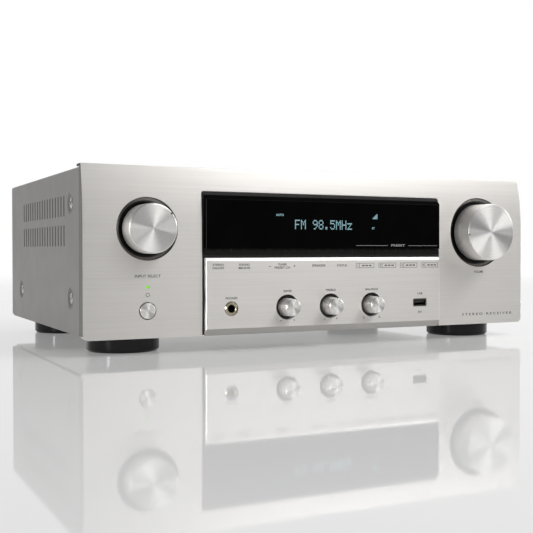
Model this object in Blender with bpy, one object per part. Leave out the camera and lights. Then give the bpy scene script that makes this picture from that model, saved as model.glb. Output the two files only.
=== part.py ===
"""Stereo receiver: fascia, controls, case, feet, rear connectors and inner units as separate bodies.

Design frame: x to the right seen from the front, y backwards, z up. y = 0 is the flat part of the
fascia's front, z = 0 is the fascia's bottom edge. At the end every body is shifted so that the feet
stand on z = 0 and the whole is centred in y. All lengths are in metres.
"""
import math

import bmesh
import bpy

GAP = 0.0003
BEYOND = 0.05
ROUND = 20
FINE = 48

# fascia
HALF_WIDTH = 0.217
FASCIA_HEIGHT = 0.1384
FASCIA_FLAT_TOP = 0.090
FASCIA_SETBACK = 0.0059
FASCIA_WALL = 0.003
FASCIA_LIP_BACK = 0.0171
FASCIA_LIP_UNDER = 0.1363
FASCIA_END_WALL = 0.003
FASCIA_END_BACK = 0.0092
FASCIA_CHAMFER = 0.0006
FASCIA_CORNER_R = 0.005
FASCIA_CURVE_STEPS = 8
FASCIA_CORNER_STEPS = 5
OPENING_HALF = 0.1182
OPENING_TOP = 0.119
OPENING_CORNER_R = 0.002

# centre block: window, keys, lower panel
BLOCK_HALF = 0.1165
BLOCK_FRONT = -0.004
BLOCK_BACK = 0.001
WINDOW_Z = (0.0719, 0.1160)
WINDOW_CHAMFER = 0.0035
LOWER_TOP = 0.0642
LOWER_BEVEL_TOP = 0.003
LOWER_BEVEL_RUN = 0.0036
LOWER_BEVEL_BOTTOM = 0.0056
LOWER_FOOT = -0.0002
WINDOW_EDGE = 0.0005
KEY_COUNT = 10
KEY_Z = (0.0653, 0.0714)
KEY_FRONT = -0.0018
KEY_BACK = 0.0003
KEY_CHAMFER = 0.0005
KEY_SPLIT = 0.00035
KEY_STEM = (0.005, 0.003, 0.0088)

# knobs and buttons
MAIN_KNOB_X = 0.1647
MAIN_KNOB_Z = 0.0876
SOURCE_R = 0.01985
SOURCE_REACH = 0.016
SOURCE_HOLE_R = 0.02535
VOLUME_R = 0.0265
VOLUME_REACH = 0.0196
VOLUME_HOLE_R = 0.03285
KNOB_BACK = 0.0035
KNOB_EDGE = 0.002
KNOB_WALL = 0.0025
KNOB_WEB = 0.004
KNOB_HUB_R = 0.0065
MARKER = (0.0009, 0.0018, 0.0012)
SOURCE_MARKER_ANGLE = 39.0
VOLUME_MARKER_ANGLE = 168.0
SHAFT_R = 0.003
SHAFT_FRONT = -0.0105
SHAFT_BACK = 0.018
SHAFT_RUNNING = 0.00005
ENCODER_BODY = (0.016, 0.0125, 0.0210)
ENCODER_NECK = (0.0045, 0.0098, 0.0135)
ENCODER_PLATE = (0.034, 0.030, 0.0205, 0.0221)
ENCODER_BORE_BACK = 0.0185
LOWER_ROW_Z = 0.022
TONE_X = (-0.0421, 0.0, 0.0421)
TONE_HOLE_R = 0.0106
TONE_BASE_R = 0.0078
TONE_FACE_R = 0.0073
TONE_FRONT = -0.016
TONE_BACK = -0.0004
TONE_EDGE = 0.001
TONE_STEM_R = 0.0029
TONE_STEM_BACK = 0.0165
TONE_BORE_R = 0.003
TONE_BORE_BACK = 0.0170
TONE_GROOVE = (0.0008, 0.0024, 0.0012)
TONE_BOARD = (0.060, 0.010, 0.034, 0.0178)
TONE_UNIT = (0.0125, 0.0105, 0.0182)
POWER_HOLE_R = 0.007
POWER_R = 0.0064
POWER_EDGE = 0.0004
POWER_FRONT = -0.0008
POWER_CAP_BACK = 0.0042
POWER_STEM_R = 0.003
POWER_STEM_BACK = 0.014
LED_Z = 0.041
LED_R = 0.0011
LED_FRONT = -0.0002
LED_BACK = 0.013

# front sockets
JACK_X = -0.094
JACK_RING_R = 0.0057
JACK_FRONT = -0.0046
JACK_EDGE = 0.0006
JACK_NECK_BACK = 0.006
JACK_FLOOR = 0.002
JACK_BORE_R = 0.00325
JACK_BODY = (0.007, 0.0055, 0.028)
USB_X = 0.0942
USB_Z = 0.0225
USB_OUTER = (0.0142, 0.0066)
USB_INNER = (0.0128, 0.0052)
USB_DEPTH = (-0.0038, 0.0125, 0.016)

# front frame
FRAME_PLATE = (0.007, 0.0092)
FRAME_HALF = 0.2134
FRAME_Z = (0.004, 0.124)
FRAME_BOX_HALF = 0.1178
FRAME_BOX_Z = (0.0008, 0.1186)
FRAME_BOX_FRONT = 0.0013
FRAME_BOX_WALL = 0.0022
FRAME_DISPLAY = (0.080, 0.076, 0.112)
FRAME_KEY_SLOT = (0.1135, 0.0666, 0.0702)
FRAME_RING_FRONT = 0.0026
FRAME_RING_FLOOR = 0.0050
FRAME_RING_STEP = 0.0042
FRAME_RING_LIP = 0.0004
FRAME_SHAFT_R = 0.0055
FRAME_ROOM = 0.0005
DISPLAY_BOARD = (0.112, 0.0125, 0.060, 0.1155)
DISPLAY_TUBE = (0.076, 0.0045, 0.0128, 0.079, 0.109)
KEY_SWITCH = (0.006, 0.0100, 0.0128)

# cover, chassis, rear panel
SHEET = 0.0012
COVER_TOP = 0.136
COVER_BOTTOM = 0.003
COVER_FRONT = 0.0095
COVER_BACK = 0.2908
COVER_EDGE_R = 0.002
COVER_EDGE_STEPS = 3
COVER_REAR_CUT = (0.012, 0.002)
SIDE_VENT_ROWS = ((0.0735, 0.0914), (0.0980, 0.1158))
SIDE_VENT_Y = (0.0575, 0.2285)
SIDE_VENT_COUNT = 17
SIDE_VENT_WIDTH = 0.004
TOP_VENT_COUNT = 14
TOP_VENT_X = 0.150
TOP_VENT_WIDTH = 0.004
TOP_VENT_ROWS = ((0.085, 0.140), (0.155, 0.210))
SCREW_SPOTS = ((0.0385, 0.1086), (0.0385, 0.0315), (0.241, 0.0315))
SCREW_NAMES = ("front_upper", "front_lower", "rear_lower")
DIMPLE_R = 0.0094
DIMPLE_EDGE = 0.0006
DIMPLE_FLOOR_R = 0.0058
DIMPLE_FLOOR_X = 0.2152
DIMPLE_INNER_X = 0.2140
SCREW_HEAD_R = 0.0044
SCREW_HEAD_EDGE = (0.0012, 0.0008)
SCREW_SEAT = 0.0002
SCREW_SUNK = 0.0001
SCREW_SHANK_R = 0.0019
SCREW_TIP_X = 0.206
SCREW_HOLE_R = 0.0023
CHASSIS_SIDE_X = 0.2136
CHASSIS_Z = 0.002
CHASSIS_Y = (0.0105, 0.2874)
CHASSIS_WALL_TOP = 0.040
CHASSIS_POST_TOP = 0.118
CHASSIS_POST_Y = (0.028, 0.050)
CHASSIS_LIP_TOP = 0.008
FLOOR_VENTS = 8
FLOOR_VENT_PITCH = 0.014
FLOOR_VENT_START = -0.049
FLOOR_VENT_WIDTH = 0.004
FLOOR_VENT_Y = (0.110, 0.170)
REAR_Y = (0.2882, 0.2894)
REAR_Z = (0.0036, 0.1344)

# feet
FOOT_R = 0.030
FOOT_HEIGHT = 0.0129
FOOT_CHAMFER = 0.0019
FOOT_X = 0.172
FOOT_Y = (0.0442, 0.2486)

# rear connectors
REAR_THROUGH = (0.27, 0.30)
POST_X = (0.096, 0.117, 0.138, 0.159)
POST_Z = (0.030, 0.056)
POST_R = 0.002
POST_END = 0.3065
POST_ROOT_R = 0.004
POST_ROOT_FRONT = 0.272
POST_HOLE_R = 0.0048
CAP_R = 0.0066
CAP_BORE_R = 0.0023
CAP_Y = (0.2935, 0.3095)
CAP_EDGES = (0.0006, 0.0012)
TERMINAL_BACKING = (0.270, 0.2735)
TERMINAL_PLATE = (0.083, 0.172, 0.016, 0.070, 0.2897, 0.2925)
RCA_X = (-0.144, -0.124, -0.104, -0.084, -0.064)
RCA_Z = (0.030, 0.048)
RCA_R = 0.00415
RCA_HOLE_R = 0.0017
RCA_HOLE_Y = (0.289, 0.31)
RCA_ROOM = 0.0004
RCA_BACKING = (0.262, 0.278)
RCA_PLATE = (-0.156, -0.052, 0.020, 0.058, 0.2897, 0.2909)
RCA_END = 0.2985
HDMI_X = (-0.150, -0.122, -0.094, -0.066)
PORT_Z = 0.1045
HDMI_OUTER = (0.0156, 0.0066)
HDMI_INNER = (0.0142, 0.0052)
LAN_X = -0.030
LAN_OUTER = (0.0160, 0.0140)
LAN_INNER = (0.0120, 0.0090)
PORT_FRONT = 0.270
PORT_BACK = 0.2902
PORT_BORE = 0.0105
LAN_BORE = 0.013
HDMI_SUPPORT_BACK = 0.2785
PORT_PLATE = (-0.161, -0.0195, 0.0935, 0.1155)
AC_CENTRE = (0.185, 0.104)
AC_FLANGE = (0.032, 0.026)
AC_BODY = (0.0275, 0.0195)
AC_CAVITY = (0.0245, 0.0165)
AC_Y = (0.266, 0.2897, 0.2920)
AC_DEPTH = 0.019
AC_PINS = ((-0.007, -0.002), (0.007, -0.002), (0.0, 0.003))
AC_PIN = (0.002, 0.004)
AC_PIN_ROOT = 0.021
AC_PIN_END = 0.2850
ANTENNA_SPOT = (0.060, 0.104)
ANTENNA_R = 0.0048
ANTENNA_END = 0.3005
ANTENNA_BODY = (0.0075, 0.2695, 0.2875)
ANTENNA_NECK = (0.0044, 0.2897)
ANTENNA_HOLE = (0.0034, 0.292)

# inner units
BOARD = 0.0016
MAIN_BOARD_X = (-0.040, 0.200)
MAIN_BOARD_Y = (0.060, 0.262)
MAIN_BOARD_Z = 0.010
MAIN_BOARD_PARTS = ((0.160, 0.235, 0.030, 0.016, 0.018), (0.125, 0.235, 0.020, 0.016, 0.016),
                    (0.170, 0.120, 0.024, 0.050, 0.012), (0.050, 0.235, 0.030, 0.020, 0.014))
MAIN_BOARD_LEGS = ((-0.030, 0.070), (0.190, 0.070), (-0.030, 0.250), (0.190, 0.250))
MAIN_BOARD_LEG_R = 0.003
CORE = ((-0.165, -0.075), (0.080, 0.136), (0.0035, 0.082))
WINDING = ((-0.150, -0.090), (0.062, 0.154), (0.018, 0.068))
UNIT_BOTTOM = 0.0119
FINS = 14
FIN_PITCH = 0.011
FIN_WALL = 0.0016
FIN_START = -0.005
FIN_Y = (0.140, 0.145, 0.170)
FIN_TOP = 0.112
CAPACITOR_X = (0.030, 0.075)
CAPACITOR_Y = 0.098
CAPACITOR_R = 0.0175
CAPACITOR_EDGE = 0.001
CAPACITOR_TOP = 0.067
DIGITAL_X = (-0.170, -0.010)
DIGITAL_Y = (0.190, 0.280)
DIGITAL_CHIPS = ((-0.110, 0.225), (-0.060, 0.220))
DIGITAL_CHIP = (0.024, 0.004)
SHARP_ANGLE = 28
COLOURS = {
    "satin_aluminium": ((0.80, 0.78, 0.75), 0.35, 1.0),
    "panel_aluminium": ((0.78, 0.76, 0.73), 0.35, 1.0),
    "spun_aluminium": ((0.84, 0.83, 0.81), 0.25, 1.0),
    "black_acrylic": ((0.01, 0.01, 0.012), 0.05, 0.0),
    "black_moulding": ((0.03, 0.03, 0.03), 0.5, 0.0),
    "key_black": ((0.02, 0.02, 0.022), 0.3, 0.0),
    "painted_steel": ((0.52, 0.50, 0.48), 0.45, 0.3),
    "zinc_steel": ((0.62, 0.62, 0.60), 0.45, 1.0),
    "foot_black": ((0.015, 0.015, 0.015), 0.15, 0.0),
    "screw_steel": ((0.70, 0.69, 0.67), 0.3, 1.0),
    "led_green": ((0.25, 0.85, 0.10), 0.3, 0.0),
    "nickel": ((0.75, 0.70, 0.60), 0.25, 1.0),
    "circuit_board": ((0.05, 0.22, 0.10), 0.5, 0.0),
    "transformer_steel": ((0.20, 0.20, 0.21), 0.5, 0.6),
    "capacitor_sleeve": ((0.05, 0.06, 0.09), 0.4, 0.0),
    "heat_sink_aluminium": ((0.60, 0.60, 0.61), 0.4, 1.0),
    "terminal_red": ((0.60, 0.03, 0.03), 0.35, 0.0),
    "terminal_black": ((0.02, 0.02, 0.02), 0.35, 0.0),
}


def remove_everything():
    for old in list(bpy.data.objects):
        bpy.data.objects.remove(old, do_unlink=True)


def material(slot):
    found = bpy.data.materials.get(slot)
    if found:
        return found
    colour, roughness, metallic = COLOURS[slot]
    made = bpy.data.materials.new(slot)
    made.use_nodes = True
    shader = made.node_tree.nodes["Principled BSDF"]
    shader.inputs["Base Color"].default_value = (*colour, 1.0)
    shader.inputs["Roughness"].default_value = roughness
    shader.inputs["Metallic"].default_value = metallic
    made.diffuse_color = (*colour, 1.0)
    return made


def from_bmesh(name, bm):
    bmesh.ops.recalc_face_normals(bm, faces=bm.faces)
    mesh = bpy.data.meshes.new(name)
    bm.to_mesh(mesh)
    bm.free()
    body = bpy.data.objects.new(name, mesh)
    bpy.context.scene.collection.objects.link(body)
    return body


def place_point(axis, along, first, second):
    """A point from its distance along an axis and its two coordinates across it, in x, y, z order."""
    if axis == "X":
        return (along, first, second)
    if axis == "Y":
        return (first, along, second)
    return (first, second, along)


def add_prism(bm, axis, outline, start, end):
    """Closed prism of an outline, swept along one axis."""
    near = [bm.verts.new(place_point(axis, start, *p)) for p in outline]
    far = [bm.verts.new(place_point(axis, end, *p)) for p in outline]
    bm.faces.new(near)
    bm.faces.new(list(reversed(far)))
    count = len(outline)
    for i in range(count):
        j = (i + 1) % count
        bm.faces.new((near[j], near[i], far[i], far[j]))


def add_block(bm, x, y, z):
    outline = [(x[0], y[0]), (x[1], y[0]), (x[1], y[1]), (x[0], y[1])]
    add_prism(bm, "Z", outline, z[0], z[1])


def around(centre, size):
    return (centre - size / 2, centre + size / 2)


def circle(centre, radius, sides):
    step = 2 * math.pi / sides
    return [(centre[0] + radius * math.cos(step * i), centre[1] + radius * math.sin(step * i))
            for i in range(sides)]


def add_rod(bm, axis, centre, radius, start, end, sides=ROUND):
    add_prism(bm, axis, circle(centre, radius, sides), start, end)


def add_turned(bm, axis, centre, profile, sides, closed=False):
    """Solid of revolution about a line along an axis. The profile is (radius, distance along).

    An open profile starts and ends on the axis. A closed one goes round an open bore.
    """
    rings = []
    for radius, along in profile:
        if radius == 0.0:
            rings.append([bm.verts.new(place_point(axis, along, *centre))])
        else:
            points = circle(centre, radius, sides)
            rings.append([bm.verts.new(place_point(axis, along, *p)) for p in points])
    pairs = list(zip(rings, rings[1:]))
    if closed:
        pairs.append((rings[-1], rings[0]))
    for a, b in pairs:
        for i in range(sides):
            j = (i + 1) % sides
            if len(a) == 1:
                bm.faces.new((a[0], b[i], b[j]))
            elif len(b) == 1:
                bm.faces.new((a[i], b[0], a[j]))
            else:
                bm.faces.new((a[i], b[i], b[j], a[j]))


def solid(builder, *arguments, **options):
    bm = bmesh.new()
    builder(bm, *arguments, **options)
    return from_bmesh("piece", bm)


def combine(body, tool, operation):
    """Boolean of two bodies, kept in the first; the second is used up."""
    modifier = body.modifiers.new(operation, "BOOLEAN")
    modifier.operation = operation
    modifier.solver = "EXACT"
    modifier.object = tool
    graph = bpy.context.evaluated_depsgraph_get()
    result = bpy.data.meshes.new_from_object(body.evaluated_get(graph))
    before = body.data
    body.modifiers.clear()
    body.data = result
    bpy.data.meshes.remove(before)
    used = tool.data
    bpy.data.objects.remove(tool, do_unlink=True)
    bpy.data.meshes.remove(used)
    return body


def unite(body, *tools):
    for tool in tools:
        combine(body, tool, "UNION")
    return body


def cut(body, *tools):
    for tool in tools:
        combine(body, tool, "DIFFERENCE")
    return body


def finish(body, name, slot, pivot=(0.0, 0.0, 0.0)):
    """Name a body, give it its material and move its origin to the pivot."""
    body.name = name
    body.data.name = name
    body.data.materials.clear()
    body.data.materials.append(material(slot))
    for vertex in body.data.vertices:
        vertex.co.x -= pivot[0]
        vertex.co.y -= pivot[1]
        vertex.co.z -= pivot[2]
    body.location = pivot
    body.data.shade_smooth()
    body.data.set_sharp_from_angle(angle=math.radians(SHARP_ANGLE))
    return body


def cutters(shapes):
    """One cutter from separate shapes, each a builder and its arguments."""
    bm = bmesh.new()
    for builder, arguments in shapes:
        builder(bm, *arguments)
    return from_bmesh("cutter", bm)


def fascia_front(z):
    if z <= FASCIA_FLAT_TOP:
        return 0.0
    share = (z - FASCIA_FLAT_TOP) / (FASCIA_HEIGHT - FASCIA_FLAT_TOP)
    return FASCIA_SETBACK * share ** 2


def fascia_curve(top):
    steps = FASCIA_CURVE_STEPS
    rise = (top - FASCIA_FLAT_TOP) / steps
    return [(fascia_front(FASCIA_FLAT_TOP + rise * i), FASCIA_FLAT_TOP + rise * i)
            for i in range(steps + 1)]


def arch_outline(half, bottom, top):
    """Rectangle in x and z with rounded top corners."""
    corner = OPENING_CORNER_R
    turn = corner * (1 - math.sqrt(0.5))
    return [(-half, bottom), (half, bottom), (half, top - corner), (half - turn, top - turn),
            (half - corner, top), (corner - half, top), (turn - half, top - turn), (-half, top - corner)]


def build_fascia():
    front = [(FASCIA_CHAMFER, 0.0), (0.0, FASCIA_CHAMFER)]
    front += fascia_curve(FASCIA_HEIGHT - FASCIA_CHAMFER)
    front.append((fascia_front(FASCIA_HEIGHT) + FASCIA_CHAMFER, FASCIA_HEIGHT))
    lip = [(FASCIA_LIP_BACK, FASCIA_HEIGHT), (FASCIA_LIP_BACK, FASCIA_LIP_UNDER)]
    inner = [(y + FASCIA_WALL, z) for y, z in reversed(fascia_curve(FASCIA_LIP_UNDER))]
    inner.append((FASCIA_WALL, 0.0))
    body = solid(add_prism, "X", front + lip + inner, -HALF_WIDTH, HALF_WIDTH)
    inset = FASCIA_CHAMFER
    end_outline = [(inset, inset), *((y + inset, z) for y, z in fascia_curve(FASCIA_LIP_UNDER + inset)),
                   (FASCIA_END_BACK, FASCIA_LIP_UNDER + inset), (FASCIA_END_BACK, inset)]
    for side in (-1, 1):
        outer = side * (HALF_WIDTH - inset / 10)
        unite(body, solid(add_prism, "X", end_outline, side * (HALF_WIDTH - FASCIA_END_WALL), outer))
    shapes = [(add_prism, ("Y", arch_outline(OPENING_HALF, -BEYOND, OPENING_TOP), -BEYOND, BEYOND))]
    for x, z, radius, sides in ((-MAIN_KNOB_X, MAIN_KNOB_Z, SOURCE_HOLE_R, FINE),
                                (MAIN_KNOB_X, MAIN_KNOB_Z, VOLUME_HOLE_R, FINE),
                                (-MAIN_KNOB_X, LOWER_ROW_Z, POWER_HOLE_R, 24),
                                (-MAIN_KNOB_X, LED_Z, LED_R + GAP, 12)):
        shapes.append((add_rod, ("Y", (x, z), radius, -BEYOND, BEYOND, sides)))
    for side in (-1, 1):
        shapes.append((add_prism, ("Y", round_off(side), -BEYOND, BEYOND)))
    cut(body, cutters(shapes))
    finish(body, "fascia", "satin_aluminium")


def round_off(side):
    """Outline outside the rounded bottom corner of the fascia."""
    radius = FASCIA_CORNER_R
    centre = (HALF_WIDTH - radius, radius)
    steps = FASCIA_CORNER_STEPS
    outer = HALF_WIDTH + BEYOND
    arc = []
    for i in range(steps + 1):
        angle = -math.pi / 2 * (1 - i / steps)
        arc.append((centre[0] + radius * math.cos(angle), centre[1] + radius * math.sin(angle)))
    outline = [(centre[0], -BEYOND), *arc, (outer, radius), (outer, -BEYOND)]
    return [(side * x, z) for x, z in outline]


def build_lower_fascia():
    outline = [(BLOCK_BACK, 0.0), (LOWER_FOOT, 0.0), (BLOCK_FRONT, LOWER_BEVEL_BOTTOM),
               (BLOCK_FRONT, LOWER_TOP - LOWER_BEVEL_TOP), (BLOCK_FRONT + LOWER_BEVEL_RUN, LOWER_TOP),
               (BLOCK_BACK, LOWER_TOP)]
    body = solid(add_prism, "X", outline, -BLOCK_HALF, BLOCK_HALF)
    shapes = [(add_rod, ("Y", (x, LOWER_ROW_Z), TONE_HOLE_R, -BEYOND, BEYOND, 28)) for x in TONE_X]
    shapes.append((add_rod, ("Y", (JACK_X, LOWER_ROW_Z), JACK_RING_R + GAP, -BEYOND, BEYOND, 24)))
    width, height = USB_OUTER
    usb = (around(USB_X, width + 2 * GAP), (-BEYOND, BEYOND), around(USB_Z, height + 2 * GAP))
    shapes.append((add_block, usb))
    cut(body, cutters(shapes))
    finish(body, "lower_fascia", "panel_aluminium")


def build_window():
    low, high = WINDOW_Z
    edge = WINDOW_EDGE
    outline = [(BLOCK_BACK, low), (BLOCK_FRONT + edge, low), (BLOCK_FRONT, low + edge),
               (BLOCK_FRONT, high - WINDOW_CHAMFER), (BLOCK_FRONT + WINDOW_CHAMFER, high),
               (BLOCK_BACK, high)]
    finish(solid(add_prism, "X", outline, -BLOCK_HALF, BLOCK_HALF), "display_window", "black_acrylic")


def key_centre(index):
    pitch = 2 * BLOCK_HALF / KEY_COUNT
    return -BLOCK_HALF + pitch * (index + 0.5)


def build_keys():
    low, high = KEY_Z
    middle = (low + high) / 2
    outline = [(KEY_BACK, low), (KEY_FRONT + KEY_CHAMFER, low), (KEY_FRONT, low + KEY_CHAMFER),
               (KEY_FRONT, high - KEY_CHAMFER), (KEY_FRONT + KEY_CHAMFER, high), (KEY_BACK, high)]
    width = 2 * BLOCK_HALF / KEY_COUNT - KEY_SPLIT
    stem_width, stem_height, stem_back = KEY_STEM
    for index in range(KEY_COUNT):
        x = key_centre(index)
        body = solid(add_prism, "X", outline, *around(x, width))
        stem = (around(x, stem_width), (KEY_BACK - GAP, stem_back), around(middle, stem_height))
        unite(body, solid(add_block, *stem))
        finish(body, f"function_key_{index + 1}", "key_black", (x, KEY_FRONT, middle))


def main_knob(name, x, radius, reach, marker_angle):
    front = -reach
    inner = radius - KNOB_WALL
    web = front + KNOB_WEB
    bore = SHAFT_R + GAP
    profile = [(0.0, front), (radius - KNOB_EDGE, front), (radius, front + KNOB_EDGE),
               (radius, KNOB_BACK), (inner, KNOB_BACK), (inner, web),
               (KNOB_HUB_R, web), (KNOB_HUB_R, KNOB_BACK), (bore, KNOB_BACK),
               (bore, SHAFT_FRONT - GAP), (0.0, SHAFT_FRONT - GAP)]
    body = solid(add_turned, "Y", (x, MAIN_KNOB_Z), profile, 40)
    angle = math.radians(marker_angle)
    hole_radius, inset, depth = MARKER
    reach = radius - inset
    spot = (x + reach * math.cos(angle), MAIN_KNOB_Z + reach * math.sin(angle))
    cut(body, solid(add_rod, "Y", spot, hole_radius, front - BEYOND, front + depth, 10))
    finish(body, name, "spun_aluminium", (x, 0.0, MAIN_KNOB_Z))


def build_main_knobs():
    main_knob("source_knob", -MAIN_KNOB_X, SOURCE_R, SOURCE_REACH, SOURCE_MARKER_ANGLE)
    main_knob("volume_knob", MAIN_KNOB_X, VOLUME_R, VOLUME_REACH, VOLUME_MARKER_ANGLE)
    size, front, back = ENCODER_BODY
    neck_r, neck_front, neck_back = ENCODER_NECK
    plate_width, plate_height, plate_front, plate_back = ENCODER_PLATE
    for name, side in (("source", -1), ("volume", 1)):
        x = side * MAIN_KNOB_X
        shaft = solid(add_rod, "Y", (x, MAIN_KNOB_Z), SHAFT_R, SHAFT_FRONT, SHAFT_BACK, 16)
        finish(shaft, f"{name}_shaft", "zinc_steel", (x, 0.0, MAIN_KNOB_Z))
        encoder = solid(add_block, around(x, size), (front, back), around(MAIN_KNOB_Z, size))
        unite(encoder, solid(add_rod, "Y", (x, MAIN_KNOB_Z), neck_r, neck_front, neck_back, 16))
        plate = (around(x, plate_width), (plate_front, plate_back), around(MAIN_KNOB_Z, plate_height))
        unite(encoder, solid(add_block, *plate))
        bore = SHAFT_R + SHAFT_RUNNING
        cut(encoder, solid(add_rod, "Y", (x, MAIN_KNOB_Z), bore, 0.0, ENCODER_BORE_BACK, 16))
        finish(encoder, f"{name}_encoder", "circuit_board")


def build_tone_controls():
    for name, x in zip(("bass", "treble", "balance"), TONE_X):
        profile = [(0.0, TONE_FRONT), (TONE_FACE_R - TONE_EDGE, TONE_FRONT),
                   (TONE_FACE_R, TONE_FRONT + TONE_EDGE), (TONE_BASE_R, TONE_BACK),
                   (TONE_STEM_R, TONE_BACK), (TONE_STEM_R, TONE_STEM_BACK), (0.0, TONE_STEM_BACK)]
        body = solid(add_turned, "Y", (x, LOWER_ROW_Z), profile, 24)
        width, length, depth = TONE_GROOVE
        top = around(LOWER_ROW_Z + TONE_FACE_R - width, length)
        cut(body, solid(add_block, around(x, width), (-BEYOND, TONE_FRONT + depth), top))
        finish(body, f"{name}_knob", "spun_aluminium", (x, 0.0, LOWER_ROW_Z))
    half, low, high, front = TONE_BOARD
    board = solid(add_block, (-half, half), (front, front + BOARD), (low, high))
    size, front, back = TONE_UNIT
    for x in TONE_X:
        unite(board, solid(add_block, around(x, size), (front, back), around(LOWER_ROW_Z, size)))
    shapes = [(add_rod, ("Y", (x, LOWER_ROW_Z), TONE_BORE_R, 0.0, TONE_BORE_BACK, 16)) for x in TONE_X]
    cut(board, cutters(shapes))
    finish(board, "tone_board", "circuit_board")


def build_power():
    x = -MAIN_KNOB_X
    profile = [(0.0, POWER_FRONT), (POWER_R - POWER_EDGE, POWER_FRONT), (POWER_R, POWER_FRONT + POWER_EDGE),
               (POWER_R, POWER_CAP_BACK), (POWER_STEM_R, POWER_CAP_BACK),
               (POWER_STEM_R, POWER_STEM_BACK), (0.0, POWER_STEM_BACK)]
    button = solid(add_turned, "Y", (x, LOWER_ROW_Z), profile, 24)
    finish(button, "power_button", "spun_aluminium", (x, POWER_FRONT, LOWER_ROW_Z))
    led = solid(add_rod, "Y", (x, LED_Z), LED_R, LED_FRONT, LED_BACK, 12)
    finish(led, "power_led", "led_green")


def build_front_sockets():
    ring = [(0.0, JACK_FRONT), (JACK_RING_R - JACK_EDGE, JACK_FRONT), (JACK_RING_R, JACK_FRONT + JACK_EDGE),
            (JACK_RING_R, JACK_NECK_BACK), (0.0, JACK_NECK_BACK)]
    jack = solid(add_turned, "Y", (JACK_X, LOWER_ROW_Z), ring, 24)
    half, start, end = JACK_BODY
    unite(jack, solid(add_block, around(JACK_X, 2 * half), (start, end), around(LOWER_ROW_Z, 2 * half)))
    cut(jack, solid(add_rod, "Y", (JACK_X, LOWER_ROW_Z), JACK_BORE_R, -BEYOND, end - JACK_FLOOR))
    finish(jack, "headphone_jack", "nickel")
    front, bottom, end = USB_DEPTH
    usb = solid(add_block, around(USB_X, USB_OUTER[0]), (front, end), around(USB_Z, USB_OUTER[1]))
    cut(usb, solid(add_block, around(USB_X, USB_INNER[0]), (-BEYOND, bottom), around(USB_Z, USB_INNER[1])))
    finish(usb, "usb_port", "nickel")


def build_front_frame():
    plate = solid(add_block, (-FRAME_HALF, FRAME_HALF), FRAME_PLATE, FRAME_Z)
    low, high = FRAME_BOX_Z
    back = FRAME_PLATE[1]
    outline = arch_outline(FRAME_BOX_HALF, low, high)
    unite(plate, solid(add_prism, "Y", outline, FRAME_BOX_FRONT, back))
    for x, radius in ((-MAIN_KNOB_X, SOURCE_HOLE_R), (MAIN_KNOB_X, VOLUME_HOLE_R)):
        outer = radius - GAP
        floor_radius = outer - FRAME_RING_STEP
        rim = [(0.0, FRAME_RING_FLOOR), (floor_radius, FRAME_RING_FLOOR),
               (outer - FRAME_RING_LIP, FRAME_RING_FRONT), (outer, FRAME_RING_FRONT),
               (outer, FRAME_PLATE[0] + GAP), (0.0, FRAME_PLATE[0] + GAP)]
        unite(plate, solid(add_turned, "Y", (x, MAIN_KNOB_Z), rim, FINE))
    wall = FRAME_BOX_WALL
    inner_x = (wall - FRAME_BOX_HALF, FRAME_BOX_HALF - wall)
    cut(plate, solid(add_block, inner_x, (FRAME_BOX_FRONT + wall, BEYOND), (low + wall, high - wall)))
    half, display_low, display_high = FRAME_DISPLAY
    slot_half, slot_low, slot_high = FRAME_KEY_SLOT
    through = (-BEYOND, BEYOND)
    room = 2 * FRAME_ROOM
    usb = (around(USB_X, USB_OUTER[0] + room), through, around(USB_Z, USB_OUTER[1] + room))
    shapes = [(add_block, ((-half, half), through, (display_low, display_high))),
              (add_block, ((-slot_half, slot_half), through, (slot_low, slot_high))), (add_block, usb)]
    for x, z, radius in ((-MAIN_KNOB_X, MAIN_KNOB_Z, FRAME_SHAFT_R),
                         (MAIN_KNOB_X, MAIN_KNOB_Z, FRAME_SHAFT_R),
                         (-MAIN_KNOB_X, LOWER_ROW_Z, POWER_STEM_R + FRAME_ROOM),
                         (-MAIN_KNOB_X, LED_Z, LED_R + GAP),
                         (JACK_X, LOWER_ROW_Z, JACK_RING_R + FRAME_ROOM),
                         *((x, LOWER_ROW_Z, TONE_STEM_R + room) for x in TONE_X)):
        shapes.append((add_rod, ("Y", (x, z), radius, *through, 16)))
    cut(plate, cutters(shapes))
    finish(plate, "front_frame", "black_moulding")


def build_display_module():
    half, front, low, high = DISPLAY_BOARD
    board = solid(add_block, (-half, half), (front, front + BOARD), (low, high))
    half, front, back, low, high = DISPLAY_TUBE
    unite(board, solid(add_block, (-half, half), (front, back), (low, high)))
    middle = sum(KEY_Z) / 2
    size, front, back = KEY_SWITCH
    for index in range(KEY_COUNT):
        switch = (around(key_centre(index), size), (front, back), around(middle, size))
        unite(board, solid(add_block, *switch))
    finish(board, "display_module", "circuit_board")


def cover_outline():
    """Closed outline of the folded sheet in x and z, with rounded outer top edges."""
    radius = COVER_EDGE_R
    steps = COVER_EDGE_STEPS
    corner = []
    for i in range(steps + 1):
        angle = math.pi / 2 * i / steps
        corner.append((HALF_WIDTH - radius + radius * math.cos(angle),
                       COVER_TOP - radius + radius * math.sin(angle)))
    outer = [(HALF_WIDTH, COVER_BOTTOM), *corner]
    inner_x = HALF_WIDTH - SHEET
    inner = [(inner_x, COVER_BOTTOM), (inner_x, COVER_TOP - SHEET)]
    left_outer = [(-x, z) for x, z in reversed(outer)]
    left_inner = [(-x, z) for x, z in inner]
    return outer + left_outer + left_inner + list(reversed(inner))


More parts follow.
